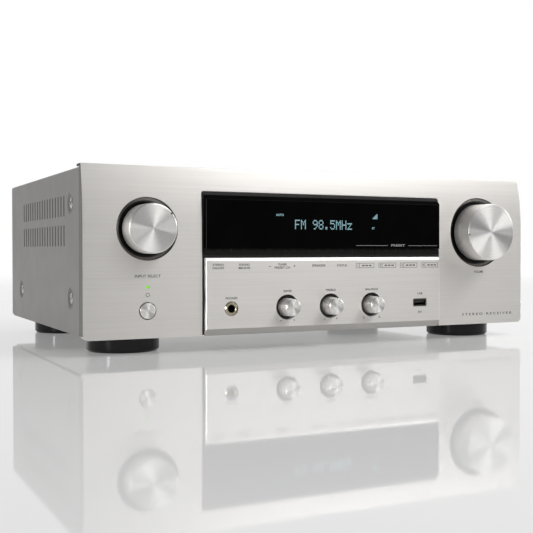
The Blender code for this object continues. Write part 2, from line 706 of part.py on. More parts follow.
def build_cover():
    body = solid(add_prism, "Y", cover_outline(), COVER_FRONT, COVER_BACK)
    for side in (-1, 1):
        for y, z in SCREW_SPOTS:
            disc = (DIMPLE_R, side * DIMPLE_INNER_X, side * (HALF_WIDTH - SHEET / 2))
            unite(body, solid(add_rod, "X", (y, z), *disc))
    shapes = []
    outer = HALF_WIDTH + SHEET
    for side in (-1, 1):
        for y, z in SCREW_SPOTS:
            profile = [(0.0, side * outer), (DIMPLE_R, side * outer),
                       (DIMPLE_R - DIMPLE_EDGE, side * HALF_WIDTH), (DIMPLE_FLOOR_R, side * DIMPLE_FLOOR_X),
                       (SCREW_HOLE_R, side * DIMPLE_FLOOR_X), (SCREW_HOLE_R, side * SCREW_TIP_X),
                       (0.0, side * SCREW_TIP_X)]
            shapes.append((add_turned, ("X", (y, z), profile, ROUND)))
        sides = sorted((side * outer, side * (HALF_WIDTH - 2 * SHEET)))
        pitch = (SIDE_VENT_Y[1] - SIDE_VENT_Y[0] - SIDE_VENT_WIDTH) / (SIDE_VENT_COUNT - 1)
        for z in SIDE_VENT_ROWS:
            for i in range(SIDE_VENT_COUNT):
                start = SIDE_VENT_Y[0] + pitch * i
                shapes.append((add_block, (sides, (start, start + SIDE_VENT_WIDTH), z)))
        length, height = COVER_REAR_CUT
        below = COVER_BOTTOM - GAP
        behind = COVER_BACK + SHEET
        wedge = [(COVER_BACK - length, below), (behind, below), (behind, COVER_BOTTOM + height)]
        shapes.append((add_prism, ("X", wedge, *sides)))
    pitch = 2 * TOP_VENT_X / (TOP_VENT_COUNT - 1)
    through = (COVER_TOP - 2 * SHEET, COVER_TOP + SHEET)
    for y in TOP_VENT_ROWS:
        for i in range(TOP_VENT_COUNT):
            x = -TOP_VENT_X + pitch * i
            shapes.append((add_block, (around(x, TOP_VENT_WIDTH), y, through)))
    cut(body, cutters(shapes))
    finish(body, "top_cover", "painted_steel")


def build_side_screws():
    run, drop = SCREW_HEAD_EDGE
    seat = DIMPLE_FLOOR_X + SCREW_SEAT
    crown = HALF_WIDTH - SCREW_SUNK
    for side, side_name in ((-1, "left"), (1, "right")):
        for (y, z), spot in zip(SCREW_SPOTS, SCREW_NAMES):
            profile = [(0.0, side * crown), (SCREW_HEAD_R - run, side * crown),
                       (SCREW_HEAD_R, side * (crown - drop)), (SCREW_HEAD_R, side * seat),
                       (SCREW_SHANK_R, side * seat), (SCREW_SHANK_R, side * SCREW_TIP_X),
                       (0.0, side * SCREW_TIP_X)]
            body = solid(add_turned, "X", (y, z), profile, 14)
            finish(body, f"side_screw_{side_name}_{spot}", "screw_steel")


def build_chassis():
    front, back = CHASSIS_Y
    side_x = CHASSIS_SIDE_X
    low = CHASSIS_Z
    body = solid(add_block, (-side_x, side_x), (front, back), (low, low + SHEET))
    wall = [(front, low), (back, low), (back, CHASSIS_WALL_TOP), (CHASSIS_POST_Y[1], CHASSIS_WALL_TOP),
            (CHASSIS_POST_Y[1], CHASSIS_POST_TOP), (CHASSIS_POST_Y[0], CHASSIS_POST_TOP),
            (CHASSIS_POST_Y[0], CHASSIS_LIP_TOP), (front, CHASSIS_LIP_TOP)]
    for side in (-1, 1):
        unite(body, solid(add_prism, "X", wall, side * (side_x - SHEET), side * side_x))
    unite(body, solid(add_block, (-side_x, side_x), (front, front + SHEET), (low, CHASSIS_LIP_TOP)))
    unite(body, solid(add_block, (-side_x, side_x), (back - SHEET, back), (low, CHASSIS_LIP_TOP)))
    shapes = []
    for side in (-1, 1):
        sides = sorted((side * (side_x + SHEET), side * (side_x - 2 * SHEET)))
        for y, z in SCREW_SPOTS:
            shapes.append((add_rod, ("X", (y, z), SCREW_HOLE_R, *sides, 10)))
    through = (low - SHEET, low + 2 * SHEET)
    for i in range(FLOOR_VENTS):
        x = FLOOR_VENT_START + FLOOR_VENT_PITCH * i
        shapes.append((add_block, (around(x, FLOOR_VENT_WIDTH), FLOOR_VENT_Y, through)))
    cut(body, cutters(shapes))
    finish(body, "bottom_chassis", "zinc_steel")


def build_feet():
    for x, side_name in ((-FOOT_X, "left"), (FOOT_X, "right")):
        for y, end_name in zip(FOOT_Y, ("front", "rear")):
            top = CHASSIS_Z - GAP
            profile = [(0.0, -FOOT_HEIGHT), (FOOT_R - FOOT_CHAMFER, -FOOT_HEIGHT),
                       (FOOT_R, FOOT_CHAMFER - FOOT_HEIGHT), (FOOT_R, top), (0.0, top)]
            body = solid(add_turned, "Z", (x, y), profile, 36)
            finish(body, f"foot_{end_name}_{side_name}", "foot_black")


def port_shell(x, z, outer, inner, depth):
    shell = solid(add_block, around(x, outer[0]), (PORT_FRONT, PORT_BACK), around(z, outer[1]))
    hole = (around(x, inner[0]), (PORT_BACK - depth, PORT_BACK + BEYOND), around(z, inner[1]))
    return shell, (add_block, hole)


def build_rear_panel():
    half = CHASSIS_SIDE_X
    body = solid(add_block, (-half, half), REAR_Y, REAR_Z)
    x0, x1, z0, z1 = PORT_PLATE
    shapes = [(add_block, ((x0 - GAP, x1 + GAP), REAR_THROUGH, (z0 - GAP, z1 + GAP)))]
    x, z = AC_CENTRE
    width, height = AC_BODY
    shapes.append((add_block, (around(x, width + 2 * GAP), REAR_THROUGH, around(z, height + 2 * GAP))))
    for x in RCA_X:
        for z in RCA_Z:
            shapes.append((add_rod, ("Y", (x, z), RCA_R + RCA_ROOM, *REAR_THROUGH, 12)))
    for x in POST_X:
        for z in POST_Z:
            shapes.append((add_rod, ("Y", (x, z), POST_HOLE_R, *REAR_THROUGH, 10)))
    shapes.append((add_rod, ("Y", ANTENNA_SPOT, ANTENNA_R + GAP, *REAR_THROUGH, 16)))
    cut(body, cutters(shapes))
    finish(body, "rear_panel", "zinc_steel")


def build_speaker_terminals():
    x0, x1, z0, z1, y0, y1 = TERMINAL_PLATE
    body = solid(add_block, (x0, x1), (y0, y1), (z0, z1))
    for x in POST_X:
        for z in POST_Z:
            unite(body, solid(add_rod, "Y", (x, z), POST_ROOT_R, POST_ROOT_FRONT, y0 + GAP, 8))
            unite(body, solid(add_rod, "Y", (x, z), POST_R, y0, POST_END, 10))
    unite(body, solid(add_block, (x0, x1), TERMINAL_BACKING, (z0, z1)))
    finish(body, "speaker_terminals", "black_moulding")
    start, end = CAP_Y
    near_edge, far_edge = CAP_EDGES
    profile = [(CAP_BORE_R, start), (CAP_R - near_edge, start), (CAP_R, start + near_edge),
               (CAP_R, end - far_edge), (CAP_R - far_edge, end), (CAP_BORE_R, end)]
    number = 0
    for z in POST_Z:
        for x in POST_X:
            number += 1
            cap = solid(add_turned, "Y", (x, z), profile, 14, closed=True)
            slot = "terminal_red" if number % 2 else "terminal_black"
            finish(cap, f"terminal_cap_{number}", slot, (x, start, z))


def build_input_jacks():
    x0, x1, z0, z1, y0, y1 = RCA_PLATE
    body = solid(add_block, (x0, x1), (y0, y1), (z0, z1))
    root = RCA_BACKING[1] - BOARD
    for x in RCA_X:
        for z in RCA_Z:
            unite(body, solid(add_rod, "Y", (x, z), RCA_R, root, RCA_END, 14))
    unite(body, solid(add_block, (x0, x1), RCA_BACKING, (z0, z1)))
    cut(body, cutters([(add_rod, ("Y", (x, z), RCA_HOLE_R, *RCA_HOLE_Y, 6)) for x in RCA_X for z in RCA_Z]))
    finish(body, "input_jacks", "black_moulding")


def build_antenna_socket():
    body_r, body_front, body_back = ANTENNA_BODY
    neck_r, neck_back = ANTENNA_NECK
    hole_r, floor = ANTENNA_HOLE
    profile = [(0.0, body_front), (body_r, body_front), (body_r, body_back), (neck_r, body_back),
               (neck_r, neck_back), (ANTENNA_R, neck_back), (ANTENNA_R, ANTENNA_END),
               (hole_r, ANTENNA_END), (hole_r, floor), (0.0, floor)]
    finish(solid(add_turned, "Y", ANTENNA_SPOT, profile, 16), "antenna_socket", "nickel")


def build_ac_inlet():
    x, z = AC_CENTRE
    inner, seat, outer = AC_Y
    body = solid(add_block, around(x, AC_FLANGE[0]), (seat, outer), around(z, AC_FLANGE[1]))
    unite(body, solid(add_block, around(x, AC_BODY[0]), (inner, seat + GAP), around(z, AC_BODY[1])))
    cavity = (outer - AC_DEPTH, outer + BEYOND)
    cut(body, solid(add_block, around(x, AC_CAVITY[0]), cavity, around(z, AC_CAVITY[1])))
    width, height = AC_PIN
    for dx, dz in AC_PINS:
        pin = (around(x + dx, width), (outer - AC_PIN_ROOT, AC_PIN_END), around(z + dz, height))
        unite(body, solid(add_block, *pin))
    finish(body, "ac_inlet", "black_moulding")


def build_amplifier():
    """Main board, transformer, heat sink and the two reservoir capacitors."""
    top = MAIN_BOARD_Z + BOARD
    board = solid(add_block, MAIN_BOARD_X, MAIN_BOARD_Y, (MAIN_BOARD_Z, top))
    for x, y, width, depth, height in MAIN_BOARD_PARTS:
        z = (top - GAP, MAIN_BOARD_Z + height)
        unite(board, solid(add_block, around(x, width), around(y, depth), z))
    leg = (CHASSIS_Z + SHEET + GAP, MAIN_BOARD_Z + GAP)
    for spot in MAIN_BOARD_LEGS:
        unite(board, solid(add_rod, "Z", spot, MAIN_BOARD_LEG_R, *leg, 10))
    finish(board, "main_board", "circuit_board")
    core = solid(add_block, *CORE)
    unite(core, solid(add_block, *WINDING))
    finish(core, "transformer", "transformer_steel")
    front, root, back = FIN_Y
    comb = [(FIN_START, front), (FIN_START, back)]
    for i in range(FINS):
        left = FIN_START + FIN_PITCH * i
        comb += [(left + FIN_WALL, back), (left + FIN_WALL, root)]
        if i < FINS - 1:
            comb += [(left + FIN_PITCH, root), (left + FIN_PITCH, back)]
    comb[-1] = (FIN_START + FIN_PITCH * (FINS - 1) + FIN_WALL, front)
    finish(solid(add_prism, "Z", comb, UNIT_BOTTOM, FIN_TOP), "heat_sink", "heat_sink_aluminium")
    radius, edge = CAPACITOR_R, CAPACITOR_EDGE
    profile = [(0.0, UNIT_BOTTOM), (radius - edge, UNIT_BOTTOM), (radius, UNIT_BOTTOM + edge),
               (radius, CAPACITOR_TOP - edge), (radius - edge, CAPACITOR_TOP), (0.0, CAPACITOR_TOP)]
    for number, x in enumerate(CAPACITOR_X):
        body = solid(add_turned, "Z", (x, CAPACITOR_Y), profile, ROUND)
        finish(body, f"capacitor_{number + 1}", "capacitor_sleeve")


def build_digital_board():
    """The upper board with its port plate, which fills the opening in the rear panel."""
    low = PORT_Z - LAN_OUTER[1] / 2
    board = solid(add_block, DIGITAL_X, DIGITAL_Y, (low - BOARD, low + GAP))
    x0, x1, z0, z1 = PORT_PLATE
    unite(board, solid(add_block, (x0, x1), REAR_Y, (z0, z1)))
    ports = [(x, HDMI_OUTER, HDMI_INNER, PORT_BORE) for x in HDMI_X]
    ports.append((LAN_X, LAN_OUTER, LAN_INNER, LAN_BORE))
    holes = []
    for x, outer, inner, depth in ports:
        shell, hole = port_shell(x, PORT_Z, outer, inner, depth)
        unite(board, shell)
        if outer[1] < LAN_OUTER[1]:
            support = (around(x, outer[0]), (PORT_FRONT, HDMI_SUPPORT_BACK), (low, PORT_Z))
            unite(board, solid(add_block, *support))
        holes.append(hole)
    size, height = DIGITAL_CHIP
    for x, y in DIGITAL_CHIPS:
        unite(board, solid(add_block, around(x, size), around(y, size), (low, low + height)))
    cut(board, cutters(holes))
    finish(board, "digital_board", "circuit_board")


def set_down():
    """Stand the feet on z = 0 and centre the whole in y."""
    middle = (CAP_Y[1] - VOLUME_REACH) / 2
    for body in bpy.data.objects:
        body.location.y -= middle
        body.location.z += FOOT_HEIGHT


def main():
    remove_everything()
    build_fascia()
    build_lower_fascia()
    build_window()
    build_keys()
    build_main_knobs()
    build_tone_controls()
    build_power()
    build_front_sockets()
    build_front_frame()
    build_display_module()
    build_cover()
    build_side_screws()
    build_chassis()
    build_feet()
    build_rear_panel()
    build_speaker_terminals()
    build_input_jacks()
    build_antenna_socket()
    build_ac_inlet()
    build_amplifier()
    build_digital_board()
    set_down()


main()
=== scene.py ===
import math

import bmesh
import bpy
from mathutils import Matrix, Vector


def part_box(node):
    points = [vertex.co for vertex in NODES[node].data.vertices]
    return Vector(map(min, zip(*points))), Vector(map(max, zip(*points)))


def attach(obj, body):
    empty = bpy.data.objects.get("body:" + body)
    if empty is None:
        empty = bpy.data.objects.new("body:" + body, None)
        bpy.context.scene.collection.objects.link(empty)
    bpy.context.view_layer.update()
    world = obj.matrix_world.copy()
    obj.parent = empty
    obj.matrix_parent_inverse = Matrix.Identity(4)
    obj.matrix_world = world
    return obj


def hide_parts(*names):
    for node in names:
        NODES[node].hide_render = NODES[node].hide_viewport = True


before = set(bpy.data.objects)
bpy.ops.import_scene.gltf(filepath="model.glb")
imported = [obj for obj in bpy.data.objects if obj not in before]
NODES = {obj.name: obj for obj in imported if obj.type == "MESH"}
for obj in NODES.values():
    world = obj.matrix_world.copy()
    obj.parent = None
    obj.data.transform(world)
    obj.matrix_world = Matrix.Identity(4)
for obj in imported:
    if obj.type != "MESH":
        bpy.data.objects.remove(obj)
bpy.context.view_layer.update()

# The pieces are built in a frame where y = 0 is the fascia's flat front and z = 0 its bottom edge.
FASCIA_LOW, FASCIA_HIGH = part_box("fascia")
SHIFT = Vector((0.0, FASCIA_LOW.y, FASCIA_LOW.z))
GAP = 0.0003


def box_here(node):
    """A node's corners in the building frame."""
    low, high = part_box(node)
    return low - SHIFT, high - SHIFT


def centre_here(node):
    low, high = box_here(node)
    return (low + high) / 2


# ---------------------------------------------------------------- meshes

def place_point(axis, along, first, second):
    if axis == "X":
        return (along, first, second)
    if axis == "Y":
        return (first, along, second)
    return (first, second, along)


def circle(centre, radius, sides, start=0.0):
    step = 2 * math.pi / sides
    return [(centre[0] + radius * math.cos(start + step * i),
             centre[1] + radius * math.sin(start + step * i)) for i in range(sides)]


def around(centre, size):
    return (centre - size / 2, centre + size / 2)


def add_prism(bm, axis, outline, start, end):
    near = [bm.verts.new(place_point(axis, start, *p)) for p in outline]
    far = [bm.verts.new(place_point(axis, end, *p)) for p in outline]
    bm.faces.new(near)
    bm.faces.new(list(reversed(far)))
    for i in range(len(outline)):
        j = (i + 1) % len(outline)
        bm.faces.new((near[j], near[i], far[i], far[j]))


def add_block(bm, x, y, z):
    add_prism(bm, "Z", [(x[0], y[0]), (x[1], y[0]), (x[1], y[1]), (x[0], y[1])], z[0], z[1])


def add_rod(bm, axis, centre, radius, start, end, sides=48):
    add_prism(bm, axis, circle(centre, radius, sides), start, end)


def add_turned(bm, axis, centre, profile, sides=96, closed=False, start=0.0):
    rings = []
    for radius, along in profile:
        if radius == 0.0:
            rings.append([bm.verts.new(place_point(axis, along, *centre))])
        else:
            points = circle(centre, radius, sides, start)
            rings.append([bm.verts.new(place_point(axis, along, *p)) for p in points])
    pairs = list(zip(rings, rings[1:]))
    if closed:
        pairs.append((rings[-1], rings[0]))
    for a, b in pairs:
        for i in range(sides):
            j = (i + 1) % sides
            if len(a) == 1:
                bm.faces.new((a[0], b[i], b[j]))
            elif len(b) == 1:
                bm.faces.new((a[i], b[0], a[j]))
            else:
                bm.faces.new((a[i], b[i], b[j], a[j]))


def from_bmesh(name, bm):
    bmesh.ops.recalc_face_normals(bm, faces=bm.faces)
    mesh = bpy.data.meshes.new(name)
    bm.to_mesh(mesh)
    bm.free()
    made = bpy.data.objects.new(name, mesh)
    bpy.context.scene.collection.objects.link(made)
    return made


def solid(builder, *arguments, **options):
    bm = bmesh.new()
    builder(bm, *arguments, **options)
    return from_bmesh("shape", bm)


def shapes(parts):
    """One mesh of several separate shapes, each a builder and its arguments."""
    bm = bmesh.new()
    for builder, *arguments in parts:
        builder(bm, *arguments)
    return from_bmesh("shape", bm)


def settle(body):
    """Apply a body's modifiers."""
    graph = bpy.context.evaluated_depsgraph_get()
    result = bpy.data.meshes.new_from_object(body.evaluated_get(graph))
    before = body.data
    body.modifiers.clear()
    body.data = result
    bpy.data.meshes.remove(before)
    return body


def discard(body):
    used = body.data
    bpy.data.objects.remove(body, do_unlink=True)
    if used and used.users == 0 and isinstance(used, bpy.types.Mesh):
        bpy.data.meshes.remove(used)


def combine(body, tool, operation):
    modifier = body.modifiers.new(operation, "BOOLEAN")
    modifier.operation = operation
    modifier.solver = "EXACT"
    modifier.object = tool
    settle(body)
    discard(tool)
    return body


def cut(body, *tools):
    for tool in tools:
        combine(body, tool, "DIFFERENCE")
    return body


def unite(body, *tools):
    for tool in tools:
        combine(body, tool, "UNION")
    return body


def bevel(body, width, segments=2, angle=32.0):
    modifier = body.modifiers.new("edges", "BEVEL")
    modifier.width = width
    modifier.segments = segments
    modifier.limit_method = "ANGLE"
    modifier.angle_limit = math.radians(angle)
    modifier.use_clamp_overlap = False
    modifier.miter_outer = "MITER_ARC"
    return settle(body)


def slice_level(body, z):
    """Split a body's faces along a level, so that the parts above and below can differ."""
    bm = bmesh.new()
    bm.from_mesh(body.data)
    everything = [*bm.verts, *bm.edges, *bm.faces]
    bmesh.ops.bisect_plane(bm, geom=everything, plane_co=(0, 0, z), plane_no=(0, 0, 1))
    bm.to_mesh(body.data)
    bm.free()


def join(bodies):
    """Gather the meshes of several objects in the first one, keeping each one's material."""
    first = bodies[0]
    bm = bmesh.new()
    slots = []
    for body in bodies:
        copy = body.data.copy()
        copy.transform(body.matrix_world)
        offset = {}
        for i, used in enumerate(body.data.materials):
            if used not in slots:
                slots.append(used)
            offset[i] = slots.index(used)
        for face in copy.polygons:
            face.material_index = offset.get(face.material_index, 0)
        bm.from_mesh(copy)
        bpy.data.meshes.remove(copy)
    for body in bodies[1:]:
        discard(body)
    mesh = bpy.data.meshes.new(first.name)
    bm.to_mesh(mesh)
    bm.free()
    for used in slots:
        mesh.materials.append(used)
    old = first.data
    first.data = mesh
    bpy.data.meshes.remove(old)
    return first


def colour_with(body, used):
    body.data.materials.clear()
    body.data.materials.append(used)
    return body


def finish_piece(body, name, used=None, rides="case", stands_for=(), pivot=(0, 0, 0), sharp=30):
    """Name a piece, put its origin on the pivot and tie it to its CAD body and nodes."""
    body.name = name
    body.data.name = name
    if used:
        colour_with(body, used)
    move = Vector(pivot)
    body.data.transform(Matrix.Translation(-move))
    body.location = move + SHIFT
    body.data.shade_smooth()
    body.data.set_sharp_from_angle(angle=math.radians(sharp))
    weighted = body.modifiers.new("normals", "WEIGHTED_NORMAL")
    weighted.keep_sharp = True
    weighted.mode = "FACE_AREA"
    settle(body)
    body.data.name = name
    bpy.context.view_layer.update()
    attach(body, rides)
    if stands_for:
        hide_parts(*stands_for)
    return body


# ---------------------------------------------------------------- materials

# Sockets of the Mix node: the factor, then the pair and the result of each kind of value.
MIX_FACTOR = 0
MIX_FLOATS, MIX_FLOAT_OUT = (2, 3), 0
MIX_COLOURS, MIX_COLOUR_OUT = (6, 7), 2


class Surface:
    """A Principled material and short ways to add nodes to it."""

    def __init__(self, name, colour, roughness, metallic=0.0, **sockets):
        self.material = bpy.data.materials.new(name)
        self.material.use_nodes = True
        self.tree = self.material.node_tree
        self.shader = self.tree.nodes["Principled BSDF"]
        self.put("Base Color", (*colour, 1.0))
        self.put("Roughness", roughness)
        self.put("Metallic", metallic)
        self.material.diffuse_color = (*colour, 1.0)
        self.colour = colour
        for socket, value in sockets.items():
            self.put(socket.replace("_", " "), value)
        self.height = None

    def put(self, socket, value):
        self.shader.inputs[socket].default_value = value

    def node(self, kind, **settings):
        made = self.tree.nodes.new(kind)
        for key, value in settings.items():
            setattr(made, key, value)
        return made

    def link(self, out, into):
        self.tree.links.new(out, into)

    def coordinate(self, scale=(1, 1, 1), centre=(0, 0, 0)):
        source = self.node("ShaderNodeTexCoord").outputs["Object"]
        mapping = self.node("ShaderNodeMapping")
        mapping.inputs["Scale"].default_value = scale
        mapping.inputs["Location"].default_value = [-c * s for c, s in zip(centre, scale)]
        self.link(source, mapping.inputs["Vector"])
        return mapping.outputs["Vector"]

    def noise(self, scale, detail=3.0, roughness=0.5, stretch=(1, 1, 1)):
        made = self.node("ShaderNodeTexNoise")
        made.inputs["Scale"].default_value = scale
        made.inputs["Detail"].default_value = detail
        made.inputs["Roughness"].default_value = roughness
        self.link(self.coordinate(stretch), made.inputs["Vector"])
        return made.outputs["Fac"]

    def rings(self, axis, frequency, detail=2.0):
        """Noise that depends only on the distance from the piece's own axis."""
        split = self.node("ShaderNodeSeparateXYZ")
        self.link(self.node("ShaderNodeTexCoord").outputs["Object"], split.inputs[0])
        across = [a for a in "XYZ" if a != axis]
        squares = []
        for a in across:
            power = self.node("ShaderNodeMath", operation="MULTIPLY")
            self.link(split.outputs[a], power.inputs[0])
            self.link(split.outputs[a], power.inputs[1])
            squares.append(power.outputs[0])
        total = self.node("ShaderNodeMath", operation="ADD")
        self.link(squares[0], total.inputs[0])
        self.link(squares[1], total.inputs[1])
        root = self.node("ShaderNodeMath", operation="SQRT")
        self.link(total.outputs[0], root.inputs[0])
        made = self.node("ShaderNodeTexNoise", noise_dimensions="1D")
        made.inputs["Scale"].default_value = frequency
        made.inputs["Detail"].default_value = detail
        self.link(root.outputs[0], made.inputs["W"])
        return made.outputs["Fac"]

    def spread(self, value, low, high, start=0.3, end=0.7):
        made = self.node("ShaderNodeMapRange")
        made.inputs["From Min"].default_value = start
        made.inputs["From Max"].default_value = end
        made.inputs["To Min"].default_value = low
        made.inputs["To Max"].default_value = high
        self.link(value, made.inputs["Value"])
        return made.outputs["Result"]

    def tint(self, value, darker, lighter):
        """Base colour that varies between two multiples of the surface's colour."""
        made = self.node("ShaderNodeMix", data_type="RGBA")
        for socket, factor in zip(MIX_COLOURS, (darker, lighter)):
            made.inputs[socket].default_value = (*[min(1.0, c * factor) for c in self.colour], 1.0)
        self.link(value, made.inputs[MIX_FACTOR])
        self.link(made.outputs[MIX_COLOUR_OUT], self.shader.inputs["Base Color"])

    def run_round(self, axis):
        """Let the anisotropic highlight follow circles round an axis."""
        tangent = self.node("ShaderNodeTangent", direction_type="RADIAL", axis=axis)
        self.link(tangent.outputs[0], self.shader.inputs["Tangent"])

    def rough(self, value, low, high):
        self.link(self.spread(value, low, high), self.shader.inputs["Roughness"])

    def bump(self, value, distance, strength=1.0):
        made = self.node("ShaderNodeBump")
        made.inputs["Distance"].default_value = distance
        made.inputs["Strength"].default_value = strength
        self.link(value, made.inputs["Height"])
        if self.height:
            self.link(self.height, made.inputs["Normal"])
        self.height = made.outputs["Normal"]
        self.link(self.height, self.shader.inputs["Normal"])


def brushed(name, colour, roughness, stretch=(0.012, 1.0, 1.0), scale=2600.0, depth=0.000012, vary=0.03,
            anisotropy=0.65):
    """Sheet metal with its brush lines along x, so highlights spread up and down."""
    made = Surface(name, colour, roughness, 1.0)
    made.put("Anisotropic", anisotropy)
    made.run_round("X")
    fine = made.noise(scale, 4.0, 0.65, stretch)
    coarse = made.noise(scale * 0.22, 3.0, 0.6, stretch)
    made.tint(made.spread(coarse, 0.0, 1.0), 1.0 - vary, 1.0 + vary)
    made.rough(fine, roughness - 0.05, roughness + 0.06)
    made.bump(fine, depth)
    return made.material


QUARTER_TURN = 0.25
FINE_RINGS, BROAD_RINGS = 5200.0, 700.0
CLOUD_SCALE = 38.0


def spun(name, colour, roughness, axis="Y", depth=0.000004, anisotropy=0.85):
    """Lathe-turned metal, whose highlight opens into wedges."""
    made = Surface(name, colour, roughness, 1.0)
    made.put("Anisotropic", anisotropy)
    made.put("Anisotropic Rotation", QUARTER_TURN)
    made.run_round(axis)
    fine = made.rings(axis, FINE_RINGS, 3.0)
    broad = made.rings(axis, BROAD_RINGS, 2.0)
    made.tint(made.spread(broad, 0.0, 1.0), 0.97, 1.03)
    made.rough(fine, roughness - 0.04, roughness + 0.05)
    made.bump(fine, depth)
    return made.material


def moulded(name, colour, roughness, grain=1800.0, depth=0.00001, metallic=0.0, vary=0.06, **sockets):
    """Plastic, paint or plating with a fine grain and a slow variation of tone and gloss."""
    made = Surface(name, colour, roughness, metallic, **sockets)
    fine = made.noise(grain, 3.0, 0.6)
    cloud = made.noise(CLOUD_SCALE, 4.0, 0.55)
    made.tint(made.spread(cloud, 0.0, 1.0), 1.0 - vary, 1.0 + vary)
    made.rough(cloud, max(0.02, roughness - 0.03), roughness + 0.04)
    made.bump(fine, depth)
    return made.material


def glowing(name, colour, strength):
    made = Surface(name, [c * 0.3 for c in colour], 0.4)
    made.put("Emission Color", (*colour, 1.0))
    made.put("Emission Strength", strength)
    grain = made.noise(900.0, 2.0)
    made.rough(grain, 0.35, 0.45)
    return made.material


def grooved(name, colour, roughness, axis, pitch, depth, metallic=0.0, **sockets):
    """Material with fine parallel grooves along one axis, for laminations and winding wire."""
    made = Surface(name, colour, roughness, metallic, **sockets)
    wave = made.node("ShaderNodeTexWave", bands_direction=axis)
    wave.inputs["Scale"].default_value = 1.0 / (pitch * 3.2)
    wave.inputs["Distortion"].default_value = 0.6
    wave.inputs["Detail"].default_value = 2.0
    made.link(made.coordinate(), wave.inputs["Vector"])
    made.tint(wave.outputs["Fac"], 0.7, 1.15)
    made.rough(made.noise(60.0, 4.0), roughness - 0.05, roughness + 0.06)
    made.bump(wave.outputs["Fac"], depth)
    return made.material


def circuit(name, colour):
    """Solder mask over copper tracks, with a sprinkling of pads."""
    made = Surface(name, colour, 0.35, 0.0, Coat_Weight=0.35)
    tracks = made.node("ShaderNodeTexBrick")
    tracks.inputs["Scale"].default_value = 90.0
    tracks.inputs["Mortar Size"].default_value = 0.06
    tracks.inputs["Color1"].default_value = (0.0, 0.0, 0.0, 1.0)
    tracks.inputs["Color2"].default_value = (0.15, 0.15, 0.15, 1.0)
    tracks.inputs["Mortar"].default_value = (1.0, 1.0, 1.0, 1.0)
    made.link(made.coordinate(), tracks.inputs["Vector"])
    made.tint(tracks.outputs["Color"], 0.85, 1.8)
    pads = made.node("ShaderNodeTexVoronoi")
    pads.inputs["Scale"].default_value = 260.0
    made.link(made.coordinate(), pads.inputs["Vector"])
    made.rough(pads.outputs["Distance"], 0.28, 0.45)
    made.bump(tracks.outputs["Fac"], 0.00004)
    made.bump(made.noise(900.0, 3.0), 0.00001)
    return made.material


M = {}
M["fascia"] = brushed("brushed_champagne", (0.80, 0.775, 0.745), 0.40, anisotropy=0.86)
M["panel"] = brushed("brushed_panel", (0.80, 0.775, 0.745), 0.40, anisotropy=0.86)
M["bright"] = brushed("panel_bevel", (0.80, 0.78, 0.76), 0.32)
# Darker copy of the panel metal for the lower panel's downward faces: painted shade below the panel.
M["under"] = brushed("panel_underside", (0.46, 0.445, 0.43), 0.40)
# Dark satin colour for the fascia's end walls: painted shade on the sides of the fascia.
M["end"] = moulded("fascia_end_painted_shade", (0.22, 0.21, 0.20), 0.45, 1500.0, 0.000008, 0.6, 0.04)
M["face"] = spun("spun_aluminium", (0.95, 0.935, 0.91), 0.385, anisotropy=1.0)
M["turned"] = spun("turned_side", (0.90, 0.88, 0.855), 0.42, anisotropy=0.6)
M["edge"] = moulded("polished_edge", (0.74, 0.73, 0.71), 0.30, 2200.0, 0.000002, 1.0, 0.02)
M["window"] = moulded("black_acrylic", (0.002, 0.002, 0.002), 0.05, 60.0, 0.0000005, vary=0.2,
                      Specular_IOR_Level=0.03)
M["moulding"] = moulded("black_moulding", (0.022, 0.021, 0.020), 0.45)
M["dish"] = moulded("grey_dish", (0.14, 0.132, 0.127), 0.28, metallic=0.8)
# Darker copy of the dish material for its inner part: painted shade in the hollow round each knob.
M["well"] = moulded("dark_well", (0.035, 0.033, 0.032), 0.30, metallic=0.7)
M["key"] = moulded("key_black", (0.008, 0.0075, 0.007), 0.28, 900.0, 0.000003, Specular_IOR_Level=0.2)
M["cover"] = moulded("painted_steel", (0.198, 0.186, 0.178), 0.34, 1500.0, 0.00002, 0.0, 0.04)
# Colour of the sheet behind the side vents: painted shade standing for the dark inside of the case seen through the
# slots.
M["liner"] = moulded("vent_backing_painted_shade", (0.16, 0.152, 0.146), 0.60, 900.0, 0.00006, 0.0, 0.10)
M["zinc"] = brushed("plated_sheet", (0.60, 0.60, 0.585), 0.42, (0.2, 1.0, 1.0), 900.0, 0.000006, 0.06)
M["foot"] = moulded("foot_gloss", (0.006, 0.006, 0.006), 0.16, 300.0, 0.000003, Specular_IOR_Level=0.3)
M["screw"] = moulded("screw_plate", (0.74, 0.73, 0.71), 0.22, 700.0, 0.000004, 1.0)
M["led"] = glowing("led_green", (0.20, 0.62, 0.02), 1.0)
M["glow"] = glowing("display_glow", (0.30, 0.52, 0.58), 0.7)
M["legend"] = moulded("legend_white", (0.36, 0.365, 0.37), 0.5)
M["ink"] = moulded("printed_ink", (0.085, 0.08, 0.078), 0.6)
M["nickel"] = moulded("warm_nickel", (0.56, 0.50, 0.38), 0.24, 700.0, 0.000003, 1.0)
# Dark steel for the USB shell: painted shade inside the port.
M["dark_steel"] = moulded("shaded_steel", (0.16, 0.155, 0.15), 0.35, 700.0, 0.000003, 1.0)
M["steel"] = moulded("bright_steel", (0.70, 0.69, 0.67), 0.25, 700.0, 0.000003, 1.0)
M["gold"] = moulded("gold_plate", (0.83, 0.61, 0.28), 0.22, 900.0, 0.000003, 1.0)
M["red"] = moulded("red_plastic", (0.50, 0.018, 0.015), 0.30, 1200.0, 0.000008, Coat_Weight=0.2)
M["black"] = moulded("black_plastic", (0.018, 0.018, 0.019), 0.32, 1200.0, 0.000008)
M["white"] = moulded("white_plastic", (0.72, 0.71, 0.68), 0.35, 1200.0, 0.000008)
M["shaft"] = brushed("shaft_steel", (0.66, 0.65, 0.63), 0.30, (1.0, 0.05, 1.0), 1800.0, 0.000004, 0.04)
M["board"] = circuit("green_board", (0.018, 0.12, 0.05))
